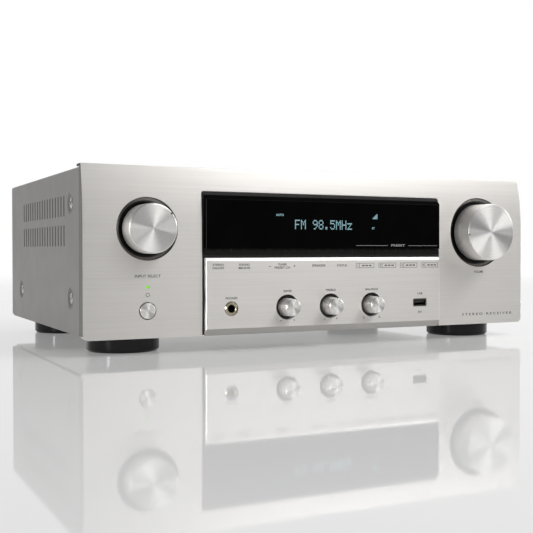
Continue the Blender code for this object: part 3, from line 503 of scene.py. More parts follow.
M["brown_board"] = circuit("brown_board", (0.16, 0.085, 0.035))
M["core"] = grooved("core_laminations", (0.13, 0.13, 0.14), 0.48, "Z", 0.0012, 0.00012, 0.6)
M["fins"] = brushed("extruded_fins", (0.62, 0.62, 0.63), 0.38, (1.0, 1.0, 0.02), 1400.0, 0.00001, 0.05)
M["sleeve"] = moulded("capacitor_sleeve", (0.03, 0.035, 0.07), 0.30, 260.0, 0.00003, 0.0, 0.12,
                      Coat_Weight=0.4)
M["encoder"] = moulded("control_body", (0.20, 0.20, 0.19), 0.40, 1100.0, 0.00001, 0.5, 0.08)


def coloured(used, builder, *arguments, **options):
    return colour_with(solid(builder, *arguments, **options), M[used])


# ---------------------------------------------------------------- fascia

HALF_WIDTH = (FASCIA_HIGH.x - FASCIA_LOW.x) / 2
FASCIA_HEIGHT = FASCIA_HIGH.z - FASCIA_LOW.z
FASCIA_LIP_BACK = FASCIA_HIGH.y - FASCIA_LOW.y
FLAT_TOP = 0.090
SETBACK = 0.0059
WALL = 0.003
LIP_UNDER = 0.1363
END_BACK = 0.0092
OPENING_HALF = 0.1182
OPENING_TOP = 0.119
KNOB_X = centre_here("volume_knob").x
KNOB_Z = centre_here("volume_shaft").z
ROW_Z = centre_here("power_button").z
LED_Z = centre_here("power_led").z
SOURCE_HOLE_R = 0.02535
VOLUME_HOLE_R = 0.03285
POWER_HOLE_R = 0.007
LED_HOLE_R = 0.0013
SKIN = 0.0002
CURVE_POWER = 2


def front_curve(z):
    if z <= FLAT_TOP:
        return 0.0
    share = (z - FLAT_TOP) / (FASCIA_HEIGHT - FLAT_TOP)
    return SETBACK * share ** CURVE_POWER


def curve_points(top, steps=22):
    rise = (top - FLAT_TOP) / steps
    return [(front_curve(FLAT_TOP + rise * i), FLAT_TOP + rise * i) for i in range(steps + 1)]


def arch(half, bottom, top, corner=0.002, steps=6):
    """Rectangle in x and z with round top corners."""
    right = []
    for i in range(steps + 1):
        angle = math.pi / 2 * i / steps
        right.append((half - corner + corner * math.cos(angle), top - corner + corner * math.sin(angle)))
    left = [(-x, z) for x, z in reversed(right)]
    return [(-half, bottom), (half, bottom), *right, *left]


def outside_corner(side, radius=0.005, steps=12, beyond=0.01):
    arc = []
    for i in range(steps + 1):
        angle = -math.pi / 2 * (1 - i / steps)
        arc.append((HALF_WIDTH - radius + radius * math.cos(angle), radius + radius * math.sin(angle)))
    outline = [(HALF_WIDTH - radius, -beyond), *arc, (HALF_WIDTH + beyond, radius),
               (HALF_WIDTH + beyond, -beyond)]
    return [(side * x, z) for x, z in outline]


def build_fascia():
    far = 0.05
    outline = [(0.0, 0.0), *curve_points(FASCIA_HEIGHT), (FASCIA_LIP_BACK, FASCIA_HEIGHT),
               (FASCIA_LIP_BACK, LIP_UNDER), (END_BACK, LIP_UNDER), (END_BACK, 0.0)]
    body = solid(add_prism, "X", outline, -HALF_WIDTH, HALF_WIDTH)
    hollow = [(y + WALL, z) for y, z in curve_points(LIP_UNDER)]
    hollow = [(WALL, -far), *hollow, (far, LIP_UNDER), (far, -far)]
    cut(body, solid(add_prism, "X", hollow, WALL - HALF_WIDTH, HALF_WIDTH - WALL))
    tools = [(add_prism, "Y", arch(OPENING_HALF, -far, OPENING_TOP), -far, far)]
    tools += [(add_prism, "Y", outside_corner(side), -far, far) for side in (-1, 1)]
    for x, z, radius, sides in ((-KNOB_X, KNOB_Z, SOURCE_HOLE_R, 128), (KNOB_X, KNOB_Z, VOLUME_HOLE_R, 128),
                                (-KNOB_X, ROW_Z, POWER_HOLE_R, 64), (-KNOB_X, LED_Z, LED_HOLE_R, 64)):
        tools.append((add_rod, "Y", (x, z), radius, -far, far, sides))
    cut(body, shapes(tools))
    bevel(body, 0.0004)
    slice_level(body, LIP_UNDER)
    colour_with(body, M["fascia"])
    body.data.materials.append(M["end"])
    body.data.materials.append(M["moulding"])
    for face in body.data.polygons:
        x, y, z = face.center
        # End walls below the lip take the dark end material as painted shade; above the lip they take the black
        # moulding.
        if abs(face.normal.x) > 0.9 and abs(x) > HALF_WIDTH - 0.001:
            face.material_index = 2 if z > LIP_UNDER else 1
        if y < SKIN or abs(face.normal.y) > 0.3:
            continue
        # The walls of the two large knob holes take the black moulding: painted shade inside the holes.
        for hole_x, radius in ((-KNOB_X, SOURCE_HOLE_R), (KNOB_X, VOLUME_HOLE_R)):
            if math.hypot(x - hole_x, z - KNOB_Z) < radius + SKIN:
                face.material_index = 2
    finish_piece(body, "fascia_panel", None, "case", ["fascia"])


BLOCK_HALF = box_here("display_window")[1].x
BLOCK_FRONT = box_here("display_window")[0].y
BLOCK_BACK = box_here("display_window")[1].y
LOWER_TOP = box_here("lower_fascia")[1].z
TONE_KNOBS = ("bass_knob", "treble_knob", "balance_knob")
TONE_HOLE_R = 0.0106
JACK = centre_here("headphone_jack")
JACK_RING_R = 0.0057
USB = centre_here("usb_port")
USB_OUTER = (0.0142, 0.0066)
USB_INNER = (0.0128, 0.0052)
THROUGH_FRONT = (-0.02, 0.02)
END_CHAMFER = 0.0007
UNDERCUT = 0.0056
TOP_BEVEL = (0.0017, 0.0024)
WINDOW_BEVEL = 0.0035


def rounded_box(half_x, half_z, radius, centre=(0.0, 0.0), steps=5):
    points = []
    for quadrant in range(4):
        sx = (1, -1, -1, 1)[quadrant]
        sz = (1, 1, -1, -1)[quadrant]
        for i in range(steps + 1):
            angle = math.pi / 2 * (quadrant + i / steps)
            points.append((centre[0] + sx * (half_x - radius) + radius * math.cos(angle),
                           centre[1] + sz * (half_z - radius) + radius * math.sin(angle)))
    return points


def chamfer_ends(body, size):
    """Bevel the two upright front edges of the middle block."""
    tools = []
    beyond = 0.001
    for side in (-1, 1):
        corner = side * BLOCK_HALF
        inside, outside = corner - side * size, corner + side * beyond
        wedge = [(inside, BLOCK_FRONT - beyond), (outside, BLOCK_FRONT - beyond),
                 (outside, BLOCK_FRONT + size), (corner, BLOCK_FRONT + size), (inside, BLOCK_FRONT)]
        tools.append((add_prism, "Z", wedge, -0.01, 0.13))
    return cut(body, shapes(tools))


def build_lower_panel():
    outline = [(BLOCK_BACK, 0.0), (-SKIN, 0.0), (BLOCK_FRONT, UNDERCUT), (BLOCK_FRONT, LOWER_TOP - TOP_BEVEL[1]),
               (BLOCK_FRONT + TOP_BEVEL[0], LOWER_TOP), (BLOCK_BACK, LOWER_TOP)]
    body = chamfer_ends(solid(add_prism, "X", outline, -BLOCK_HALF, BLOCK_HALF), END_CHAMFER)
    tools = [(add_rod, "Y", (centre_here(n).x, ROW_Z), TONE_HOLE_R, *THROUGH_FRONT, 96) for n in TONE_KNOBS]
    tools.append((add_rod, "Y", (JACK.x, ROW_Z), JACK_RING_R + GAP, *THROUGH_FRONT, 72))
    usb = rounded_box(USB_OUTER[0] / 2 + GAP, USB_OUTER[1] / 2 + GAP, 0.0008, (USB.x, USB.z))
    tools.append((add_prism, "Y", usb, *THROUGH_FRONT))
    cut(body, shapes(tools))
    bevel(body, 0.0002, 2, 25)
    colour_with(body, M["panel"])
    for used in (M["under"], M["bright"]):
        body.data.materials.append(used)
    for face in body.data.polygons:
        # Faces that look down take the darker copy, painted shade under the panel.
        if face.normal.z < -0.3:
            face.material_index = 1
        elif face.center.y < BLOCK_FRONT + 0.002:
            if face.normal.z > 0.3 or 0.3 < abs(face.normal.x) < 0.95:
                face.material_index = 2
    finish_piece(body, "lower_panel", None, "case", ["lower_fascia"])


def build_window():
    low, high = (corner.z for corner in box_here("display_window"))
    outline = [(BLOCK_BACK, low), (BLOCK_FRONT, low), (BLOCK_FRONT, high - WINDOW_BEVEL),
               (BLOCK_FRONT + WINDOW_BEVEL, high), (BLOCK_BACK, high)]
    body = chamfer_ends(solid(add_prism, "X", outline, -BLOCK_HALF, BLOCK_HALF), END_CHAMFER)
    bevel(body, 0.0003, 3, 25)
    finish_piece(body, "window_lens", M["window"], "case", ["display_window"])


KEY_BOTTOM = 0.0665
KEY_FACE = 0.0021
KEY_STEM = (0.005, 0.003)


def build_keys():
    for number in range(1, 11):
        node = f"function_key_{number}"
        low, high = box_here(node)
        centre = centre_here(node)
        body = solid(add_block, (low.x, high.x), (low.y, low.y + KEY_FACE), (KEY_BOTTOM, high.z))
        bevel(body, 0.0003, 3)
        stem = solid(add_block, around(centre.x, KEY_STEM[0]), (low.y + KEY_FACE - GAP, high.y),
                     around(centre.z, KEY_STEM[1]))
        unite(body, stem)
        finish_piece(body, f"key_cap_{number}", M["key"], node, [node],
                     (centre.x, low.y, centre.z))


def rounded_profile(points, radius_at):
    """Turned profile whose corners are rounded; radius_at maps a point's index to its radius."""
    made = []
    for i, point in enumerate(points):
        radius = radius_at.get(i)
        if not radius:
            made.append(point)
            continue
        here = Vector(point)
        before = (Vector(points[i - 1]) - here).normalized()
        after = (Vector(points[(i + 1) % len(points)]) - here).normalized()
        half = before.angle(after) / 2
        reach = radius / math.tan(half)
        centre = here + (before + after).normalized() * (radius / math.sin(half))
        first = here + before * reach - centre
        last = here + after * reach - centre
        steps = 5
        for k in range(steps + 1):
            blend = first.lerp(last, k / steps).normalized() * radius
            made.append(tuple(centre + blend))
    return made


def dress_knob(body, front, edge):
    """Turned side, polished rim and spun face, by where each face lies behind the front."""
    body.data.materials.clear()
    for used in (M["turned"], M["edge"], M["face"]):
        body.data.materials.append(used)
    for face in body.data.polygons:
        depth = face.center.y - front
        if depth < 0.0006 and abs(face.normal.y) > 0.97:
            face.material_index = 2
        elif depth < edge:
            face.material_index = 1


SOURCE_KNOB_R = 0.01985
VOLUME_KNOB_R = 0.0265
KNOB_WALL = 0.0025
KNOB_WEB = 0.004
KNOB_BORE = (0.0033, -0.0108)
HUB_R = 0.0065
MARK_R = 0.0009
MARK_DEPTH = 0.0014


def build_main_knob(node, radius, shoulder, marker_angle):
    low, high = box_here(node)
    x = centre_here(node).x
    front, back = low.y, high.y
    web = front + KNOB_WEB
    inner = radius - KNOB_WALL
    bore, bore_end = KNOB_BORE
    points = [(0.0, front), (radius, front), (radius, back), (inner, back), (inner, web), (HUB_R, web),
              (HUB_R, back), (bore, back), (bore, bore_end), (0.0, bore_end)]
    body = solid(add_turned, "Y", (x, KNOB_Z), rounded_profile(points, {1: shoulder, 2: 0.0004}), 160)
    angle = math.radians(marker_angle)
    reach = radius - MARK_R
    spot = (x + reach * math.cos(angle), KNOB_Z + reach * math.sin(angle))
    cut(body, solid(add_rod, "Y", spot, MARK_R, front - 0.002, front + MARK_DEPTH, 32))
    dress_knob(body, front, shoulder * 0.6)
    pivot = (x, 0.0, KNOB_Z)
    finish_piece(body, f"{node}_body", None, node, [node], pivot)
    dot = [(0.0, 0.00005), (0.0005, 0.0001), (0.0008, 0.0004), (0.0008, 0.00135), (0.0, 0.00135)]
    dot = solid(add_turned, "Y", spot, [(r, front + depth) for r, depth in dot], 32)
    finish_piece(dot, f"{node}_marker", M["ink"], node, (), pivot)


TONE_FACE_R = 0.0063
TONE_SHOULDER = (0.0073, 0.001)
TONE_BASE = (0.0078, -0.0004)
TONE_STEM_R = 0.0029


def build_tone_knob(node):
    low, high = box_here(node)
    x = centre_here(node).x
    points = [(0.0, low.y), (TONE_FACE_R, low.y), (TONE_SHOULDER[0], low.y + TONE_SHOULDER[1]), TONE_BASE,
              (TONE_STEM_R, TONE_BASE[1]), (TONE_STEM_R, high.y), (0.0, high.y)]
    body = solid(add_turned, "Y", (x, ROW_Z), rounded_profile(points, {1: 0.0003, 2: 0.0006}), 96)
    cut(body, solid(add_block, around(x, 0.0008), (low.y - 0.002, low.y + 0.0012),
                    around(ROW_Z + 0.0065, 0.0024)))
    dress_knob(body, low.y, 0.0008)
    finish_piece(body, f"{node}_body", None, node, [node], (x, 0.0, ROW_Z))


def build_power_button():
    low, high = box_here("power_button")
    x = centre_here("power_button").x
    radius = (high.x - low.x) / 2
    skirt, stem = 0.0042, 0.003
    points = [(0.0, low.y), (radius, low.y), (radius, skirt), (stem, skirt), (stem, high.y), (0.0, high.y)]
    body = solid(add_turned, "Y", (x, ROW_Z), rounded_profile(points, {1: 0.0004}), 96)
    dress_knob(body, low.y, 0.0004)
    finish_piece(body, "power_cap", None, "power_button", ["power_button"],
                 (x, low.y, ROW_Z))


def build_led():
    low, high = box_here("power_led")
    x = centre_here("power_led").x
    radius = (high.x - low.x) / 2
    profile = [(0.0, low.y), (radius * 0.6, low.y + 0.00008), (radius, low.y + 0.0004), (radius, high.y),
               (0.0, high.y)]
    body = solid(add_turned, "Y", (x, LED_Z), profile, 32)
    finish_piece(body, "led_lens", M["led"], "case", ["power_led"], (x, 0, LED_Z))


FRAME_HALF, FRAME_BOTTOM, FRAME_TOP = 0.1178, 0.0008, 0.1186
FRAME_FRONT = 0.0013
FRAME_WALL = 0.0022
FRAME_PLATE = (0.007, (0.004, 0.124))
DISPLAY_CUT = ((-0.080, 0.080), (0.076, 0.112))
KEY_CUT = ((-0.1135, 0.1135), (0.0666, 0.0702))
DISH_BACK, DISH_FLOOR, DISH_RIM = 0.0090, 0.0062, 0.0026
DISH_BORE_R = 0.0055
DISH_SHADE_INSET = 0.0026


def build_surround():
    """The black moulding behind the fascia, with the dishes round the two large knobs; each dish's inner part is
    darker as painted shade.
    """
    low, high = box_here("front_frame")
    plate = solid(add_block, (low.x, high.x), (FRAME_PLATE[0], high.y), FRAME_PLATE[1])
    unite(plate, solid(add_prism, "Y", arch(FRAME_HALF, FRAME_BOTTOM, FRAME_TOP), FRAME_FRONT, high.y))
    cut(plate, solid(add_block, (FRAME_WALL - FRAME_HALF, FRAME_HALF - FRAME_WALL),
                     (FRAME_FRONT + FRAME_WALL, high.y + 0.01), (FRAME_BOTTOM + FRAME_WALL, FRAME_TOP - FRAME_WALL)))
    through = (-0.005, 0.02)
    tools = [(add_block, x, through, z) for x, z in (DISPLAY_CUT, KEY_CUT)]
    tools.append((add_block, around(USB.x, USB_OUTER[0] + 0.001), through, around(USB.z, USB_OUTER[1] + 0.001)))
    holes = [(-KNOB_X, KNOB_Z, SOURCE_HOLE_R - 0.006), (KNOB_X, KNOB_Z, VOLUME_HOLE_R - 0.006),
             (-KNOB_X, ROW_Z, 0.0035), (-KNOB_X, LED_Z, 0.0014), (JACK.x, ROW_Z, JACK_RING_R + 0.0004)]
    holes += [(centre_here(n).x, ROW_Z, 0.004) for n in TONE_KNOBS]
    tools += [(add_rod, "Y", (x, z), radius, *through, 64) for x, z, radius in holes]
    cut(plate, shapes(tools))
    dishes = []
    for x, radius in ((-KNOB_X, SOURCE_HOLE_R), (KNOB_X, VOLUME_HOLE_R)):
        outer = radius - GAP
        profile = [(outer, DISH_RIM), (outer, DISH_BACK), (DISH_BORE_R, DISH_BACK), (DISH_BORE_R, DISH_FLOOR),
                   (outer - 0.0052, 0.0058), (outer - 0.0042, 0.0050), (outer - 0.0022, 0.0036),
                   (outer - 0.0004, DISH_RIM)]
        dish = coloured("dish", add_turned, "Y", (x, KNOB_Z), profile, 128, True)
        dish.data.materials.append(M["well"])
        # Faces inward of the rim take the darker copy, painted shade in the dish.
        for face in dish.data.polygons:
            if math.hypot(face.center.x - x, face.center.z - KNOB_Z) < outer - DISH_SHADE_INSET:
                face.material_index = 1
        dishes.append(dish)
    body = join([colour_with(plate, M["moulding"]), *dishes])
    finish_piece(body, "surround", None, "case", ["front_frame"])


JACK_BORE_R = 0.00325
JACK_BODY = 0.014
JACK_BODY_FRONT, JACK_RING_BACK = 0.0055, 0.0058


def build_jack():
    low, high = box_here("headphone_jack")
    bore = JACK_BORE_R
    points = [(bore, low.y + 0.0004), (bore + 0.0004, low.y), (JACK_RING_R - 0.0009, low.y),
              (JACK_RING_R, low.y + 0.0009), (JACK_RING_R, JACK_RING_BACK), (bore, JACK_RING_BACK)]
    ring = coloured("nickel", add_turned, "Y", (JACK.x, ROW_Z), points, 72, True)
    box = solid(add_block, around(JACK.x, JACK_BODY), (JACK_BODY_FRONT, high.y), around(ROW_Z, JACK_BODY))
    cut(box, solid(add_rod, "Y", (JACK.x, ROW_Z), bore, 0.0, high.y - 0.002, 48))
    bevel(box, 0.0005)
    body = join([ring, colour_with(box, M["moulding"])])
    finish_piece(body, "phone_socket", None, "case", ["headphone_jack"])


USB_DEPTH = 0.0125
USB_PINS = (-0.0035, -0.001, 0.001, 0.0035)


def build_usb():
    low, high = box_here("usb_port")
    shell = solid(add_prism, "Y", rounded_box(USB_OUTER[0] / 2, USB_OUTER[1] / 2, 0.0006, (USB.x, USB.z)),
                  low.y, high.y)
    hole = rounded_box(USB_INNER[0] / 2, USB_INNER[1] / 2, 0.0004, (USB.x, USB.z))
    cut(shell, solid(add_prism, "Y", hole, low.y - 0.01, USB_DEPTH))
    bevel(shell, 0.0001, 1)
    tongue = solid(add_block, around(USB.x, 0.0112), (low.y + 0.0012, USB_DEPTH + SKIN),
                   around(USB.z + 0.0011, 0.0019))
    bevel(tongue, 0.0002)
    # The shell is dark steel, painted shade inside the socket.
    parts = [colour_with(shell, M["dark_steel"]), colour_with(tongue, M["moulding"])]
    for x in USB_PINS:
        parts.append(coloured("nickel", add_block, around(USB.x + x, 0.0011), (low.y + 0.0024, USB_DEPTH),
                              around(USB.z + 0.0001, 0.0002)))
    finish_piece(join(parts), "usb_socket", None, "case", ["usb_port"])


FOOT_SOLE = 0.0008


def build_feet():
    for end in ("front", "rear"):
        for side in ("left", "right"):
            node = f"foot_{end}_{side}"
            low, high = box_here(node)
            x, y = centre_here(node).xy
            radius = (high.x - low.x) / 2
            sole = low.z + FOOT_SOLE
            points = [(0.0, sole), (radius - 0.006, sole), (radius - 0.0065, low.z),
                      (radius - 0.0019, low.z), (radius, low.z + 0.0019), (radius, high.z), (0.0, high.z)]
            profile = rounded_profile(points, {3: 0.0006, 4: 0.0008, 5: 0.0005})
            body = solid(add_turned, "Z", (x, y), profile, 128)
            finish_piece(body, f"{node}_pad", M["foot"], "case", [node], (x, y, low.z))


# ---------------------------------------------------------------- cover and screws

SHEET = 0.0012
VENT_ROWS = ((0.0735, 0.0914), (0.0980, 0.1158))
VENT_Y = (0.0575, 0.2285)
VENT_WIDTH = 0.004
VENTS_A_ROW = 17
TOP_VENTS = 14
TOP_VENT_X = 0.150
TOP_VENT_ROWS = ((0.085, 0.140), (0.155, 0.210))
COVER_CORNER_R = 0.002
DIMPLE_R, DIMPLE_FLOOR_R = 0.0094, 0.0052
DIMPLE_BACK, DIMPLE_FLOOR = 0.2140, 0.2152
SCREW_HOLE_R = 0.0023
LINER_FRONT, LINER_BACK = 0.0005, 0.0016
REAR_WEDGE = (0.012, 0.002)
SCREW_SEAT = 0.2154
SCREW_SHANK_R, SCREW_TIP_R = 0.0019, 0.0008
CROSS = (0.0023, 0.00045, 0.0011)
SCREW_NODES = [n for n in sorted(NODES) if n.startswith("side_screw_")]


def slot_outline(centre, long_range, width, steps=6):
    """Round-ended slot; the long way is the second coordinate."""
    radius = width / 2
    points = []
    for start, middle in ((0.0, long_range[1] - radius), (math.pi, long_range[0] + radius)):
        for i in range(steps + 1):
            angle = start + math.pi * i / steps
            points.append((centre + radius * math.cos(angle), middle + radius * math.sin(angle)))
    return points


def cover_outline():
    low, high = box_here("top_cover")
    radius = COVER_CORNER_R
    steps = 6
    corner = []
    for i in range(steps + 1):
        angle = math.pi / 2 * i / steps
        corner.append((high.x - radius + radius * math.cos(angle), high.z - radius + radius * math.sin(angle)))
    outer = [(high.x, low.z), *corner]
    inner_x = high.x - SHEET
    inner_r = radius - SHEET
    inner = [(inner_x, low.z), (inner_x, high.z - SHEET - inner_r), (inner_x - inner_r, high.z - SHEET)]
    return (outer + [(-x, z) for x, z in reversed(outer)] + [(-x, z) for x, z in inner]
            + list(reversed(inner)))


def build_cover():
    low, high = box_here("top_cover")
    face = high.x
    body = solid(add_prism, "Y", cover_outline(), low.y, high.y)
    tools = []
    for node in SCREW_NODES:
        spot = centre_here(node)
        side = 1 if spot.x > 0 else -1
        unite(body, solid(add_rod, "X", (spot.y, spot.z), DIMPLE_R, side * DIMPLE_BACK,
                          side * (face - SHEET / 2), 64))
        profile = [(0.0, face + 0.002), (DIMPLE_R, face + 0.002), (DIMPLE_R, face),
                   (DIMPLE_R - 0.0004, face - 0.0001), (DIMPLE_R - 0.0018, face - 0.0008),
                   (DIMPLE_FLOOR_R + 0.001, DIMPLE_FLOOR + 0.0003), (DIMPLE_FLOOR_R, DIMPLE_FLOOR),
                   (SCREW_HOLE_R, DIMPLE_FLOOR), (SCREW_HOLE_R, 0.21), (0.0, 0.21)]
        tools.append((add_turned, "X", (spot.y, spot.z), [(r, side * x) for r, x in profile], 64))
    pitch = (VENT_Y[1] - VENT_Y[0] - VENT_WIDTH) / (VENTS_A_ROW - 1)
    back, bottom = high.y + 0.001, low.z - 0.0001
    wedge = [(high.y - REAR_WEDGE[0], bottom), (back, bottom), (back, low.z + REAR_WEDGE[1])]
    for side in (-1, 1):
        sides = sorted((side * (face + 0.002), side * (face - 0.002)))
        for row in VENT_ROWS:
            for i in range(VENTS_A_ROW):
                centre = VENT_Y[0] + VENT_WIDTH / 2 + pitch * i
                tools.append((add_prism, "X", slot_outline(centre, row, VENT_WIDTH), *sides))
        tools.append((add_prism, "X", wedge, *sides))
    pitch = 2 * TOP_VENT_X / (TOP_VENTS - 1)
    for row in TOP_VENT_ROWS:
        for i in range(TOP_VENTS):
            outline = slot_outline(-TOP_VENT_X + pitch * i, row, VENT_WIDTH)
            tools.append((add_prism, "Z", outline, high.z - 0.004, high.z + 0.004))
    cut(body, shapes(tools))
    finish_piece(body, "steel_cover", M["cover"], "case", ["top_cover"], sharp=22)
    for side, name in ((-1, "left"), (1, "right")):
        # A sheet of painted shade sits just behind each block of side vents.
        sides = sorted((side * (face - LINER_FRONT), side * (face - LINER_BACK)))
        liner = solid(add_block, sides, (VENT_Y[0] - 0.004, VENT_Y[1] + 0.004),
                      (VENT_ROWS[0][0] - 0.003, VENT_ROWS[1][1] + 0.003))
        bevel(liner, 0.0002)
        finish_piece(liner, f"vent_liner_{name}", M["liner"], "case", ())


def build_side_screws():
    reach, half_width, depth = CROSS
    for number, node in enumerate(SCREW_NODES):
        low, high = box_here(node)
        middle = Vector(centre_here(node).yz)
        side = 1 if low.x > 0 else -1
        tip, crown = sorted((abs(low.x), abs(high.x)))
        radius = (high.y - low.y) / 2
        points = [(0.0, crown), (radius * 0.45, crown - 0.0001), (radius * 0.8, crown - 0.00035),
                  (radius, crown - 0.0009), (radius, SCREW_SEAT), (SCREW_SHANK_R, SCREW_SEAT),
                  (SCREW_SHANK_R, tip + 0.0015), (SCREW_TIP_R, tip), (0.0, tip)]
        body = solid(add_turned, "X", tuple(middle), [(r, side * d) for r, d in points], 48)
        turn = math.radians(17 + 31 * number)
        for quarter in (0, 1):
            angle = turn + quarter * math.pi / 2
            along = Vector((math.cos(angle), math.sin(angle))) * reach
            across = Vector((-math.sin(angle), math.cos(angle))) * half_width
            outline = [tuple(middle + a * along + b * across) for a, b in ((-1, -1), (1, -1), (1, 1), (-1, 1))]
            ends = sorted((side * (crown + 0.001), side * (crown - depth)))
            cut(body, solid(add_prism, "X", outline, *ends))
        finish_piece(body, f"{node}_head", M["screw"], "case", [node], (0.0, *middle))


# ---------------------------------------------------------------- rear

PANEL_LOW, PANEL_HIGH = box_here("rear_panel")
PLATE_BACK = PANEL_HIGH.y
TERMINAL_LOW, TERMINAL_HIGH = box_here("speaker_terminals")
CAP_CENTRES = {n: centre_here(f"terminal_cap_{n}") for n in range(1, 9)}
JACKS_LOW, JACKS_HIGH = box_here("input_jacks")
RCA_X = (-0.144, -0.124, -0.104, -0.084, -0.064)
RCA_Z = (0.030, 0.048)
RCA_R = 0.00415
HDMI_X = (-0.150, -0.122, -0.094, -0.066)
PORT_Z = 0.1045
PORT_BACK = 0.2902
PORT_PLATE = ((-0.161, -0.0195), (0.0935, 0.1155))
LAN_X = -0.030
AC_LOW, AC_HIGH = box_here("ac_inlet")
AC = centre_here("ac_inlet")
ANTENNA = centre_here("antenna_socket")
SEAT = 0.2897
ANTENNA_HOLE_R = 0.0051
AC_HOLE = (0.0281, 0.0201)
CAP_HOLE_R = 0.0048
PANEL_SCREW_X = (-0.207, 0.207)
PANEL_SCREW_Z = (0.012, 0.066, 0.126)
PANEL_SCREWS_MIDDLE = [(x, z) for z in (0.0078, 0.1290) for x in (-0.100, 0.0, 0.100)]
TERMINAL_FACE = 0.2925
POST_R, POST_ROOT = 0.0020, 0.272
CAP_BORE_R = 0.0023
THREAD_START = 0.2950
JACKS_FACE = 0.2909
RCA_INNER_R, RCA_PIN_R, RCA_BASE_R = 0.0033, 0.0017, 0.0066
ANTENNA_R = 0.0048
ANTENNA_INNER_R = 0.0036
ANTENNA_FLOOR = 0.2922
AC_BODY = (0.0275, 0.0195)
AC_CAVITY = (0.01225, 0.00825)
AC_CHAMFER = 0.0045
AC_PINS = ((-0.007, -0.002), (0.007, -0.002), (0.0, 0.003))
AC_PIN_END = 0.2850
BOARD_X, BOARD_Y = (-0.170, -0.010), (0.190, 0.280)
CHIPS = ((-0.110, 0.225), (-0.060, 0.220))
CHIP = (0.024, 0.004)


def knurled(centre, radius, depth, ridges):
    points = []
    for i in range(ridges * 4):
        angle = 2 * math.pi * i / (ridges * 4)
        reach = radius - (depth if i % 4 in (2, 3) else 0.0)
        points.append((centre[0] + reach * math.cos(angle), centre[1] + reach * math.sin(angle)))
    return points


def threaded(radius, start, end, pitch, depth):
    """Open profile up a threaded post, drawn as rings."""
    points = []
    steps = int((end - start) / pitch)
    for i in range(steps):
        points += [(radius, start + pitch * i), (radius - depth, start + pitch * (i + 0.5))]
    return points + [(radius, start + pitch * steps)]


def small_screw(x, z, y, radius=0.0021):
    """Round-head panel screw with a cross recess, facing the rear."""
    profile = [(0.0, y), (radius, y), (radius, y + 0.0005), (radius * 0.7, y + 0.0010), (0.0, y + 0.0012)]
    head = solid(add_turned, "Y", (x, z), profile, 28)
    for size in ((0.0022, 0.0005), (0.0005, 0.0022)):
        cut(head, solid(add_block, around(x, size[0]), (y + 0.0006, y + 0.002), around(z, size[1])))
    return colour_with(head, M["screw"])


def build_rear_panel():
    body = solid(add_block, *zip(PANEL_LOW, PANEL_HIGH))
    through = (PANEL_LOW.y - 0.005, PANEL_HIGH.y + 0.005)
    tools = [(add_block, (PORT_PLATE[0][0] - GAP, PORT_PLATE[0][1] + GAP), through,
              (PORT_PLATE[1][0] - GAP, PORT_PLATE[1][1] + GAP)),
             (add_block, around(AC.x, AC_HOLE[0]), through, around(AC.z, AC_HOLE[1])),
             (add_rod, "Y", (ANTENNA.x, ANTENNA.z), ANTENNA_HOLE_R, *through)]
    tools += [(add_rod, "Y", (x, z), RCA_R + 0.0004, *through, 40) for x in RCA_X for z in RCA_Z]
    tools += [(add_rod, "Y", (c.x, c.z), CAP_HOLE_R, *through, 40) for c in CAP_CENTRES.values()]
    cut(body, shapes(tools))
    bevel(body, 0.0003)
    finish_piece(body, "rear_plate", M["zinc"], "case", ["rear_panel"])
    spots = [(x, z) for x in PANEL_SCREW_X for z in PANEL_SCREW_Z] + PANEL_SCREWS_MIDDLE
    heads = [small_screw(x, z, PLATE_BACK) for x, z in spots]
    finish_piece(join(heads), "rear_panel_screws", None, "case", ())


def build_terminals():
    low, high = TERMINAL_LOW, TERMINAL_HIGH
    block = solid(add_block, (low.x, high.x), (SEAT, TERMINAL_FACE), (low.z, high.z))
    bevel(block, 0.0006)
    parts = [colour_with(block, M["moulding"]),
             coloured("moulding", add_block, (low.x, high.x), (low.y, 0.2735), (low.z, high.z))]
    thread = threaded(POST_R, THREAD_START, high.y - 0.0008, 0.0006, 0.00018)
    post = [(0.0, SEAT), (POST_R, SEAT), (POST_R, THREAD_START - 0.0005), *thread, (0.0014, high.y),
            (0.0, high.y)]
    for centre in CAP_CENTRES.values():
        spot = (centre.x, centre.z)
        parts.append(coloured("moulding", add_rod, "Y", spot, 0.004, POST_ROOT, SEAT + GAP, 32))
        parts.append(coloured("gold", add_turned, "Y", spot, post, 28))
    inset = 0.0055
    for x in (low.x + inset, high.x - inset):
        for z in (low.z + inset, high.z - inset):
            parts.append(small_screw(x, z, TERMINAL_FACE))
    finish_piece(join(parts), "terminal_block", None, "case", ["speaker_terminals"])
    for number, centre in CAP_CENTRES.items():
        build_cap(number, centre)


def build_cap(number, centre):
    """Knurled grip with a gold washer at its end; odd numbers are red."""
    node = f"terminal_cap_{number}"
    near, far = box_here(node)
    spot = (centre.x, centre.z)
    radius = (far.x - near.x) / 2
    grip = solid(add_prism, "Y", knurled(spot, radius, 0.0006, 22), near.y + 0.0028, far.y - 0.0016)
    bevel(grip, 0.00015, 1)
    unite(grip, solid(add_rod, "Y", spot, radius - 0.0009, near.y, far.y, 48))
    cut(grip, solid(add_rod, "Y", spot, CAP_BORE_R, near.y - 0.01, far.y + 0.01, 32))
    colour = "red" if number % 2 else "black"
    colour_with(grip, M[colour])
    inner, outer, start, end = 0.0024, 0.0046, far.y - 0.0010, far.y - 0.00005
    ring = [(inner, start), (outer, start), (outer, end), (inner, end)]
    washer = coloured("gold", add_turned, "Y", spot, ring, 40, True)
    finish_piece(join([grip, washer]), f"{node}_grip", None, node, [node],
                 (centre.x, near.y, centre.z))


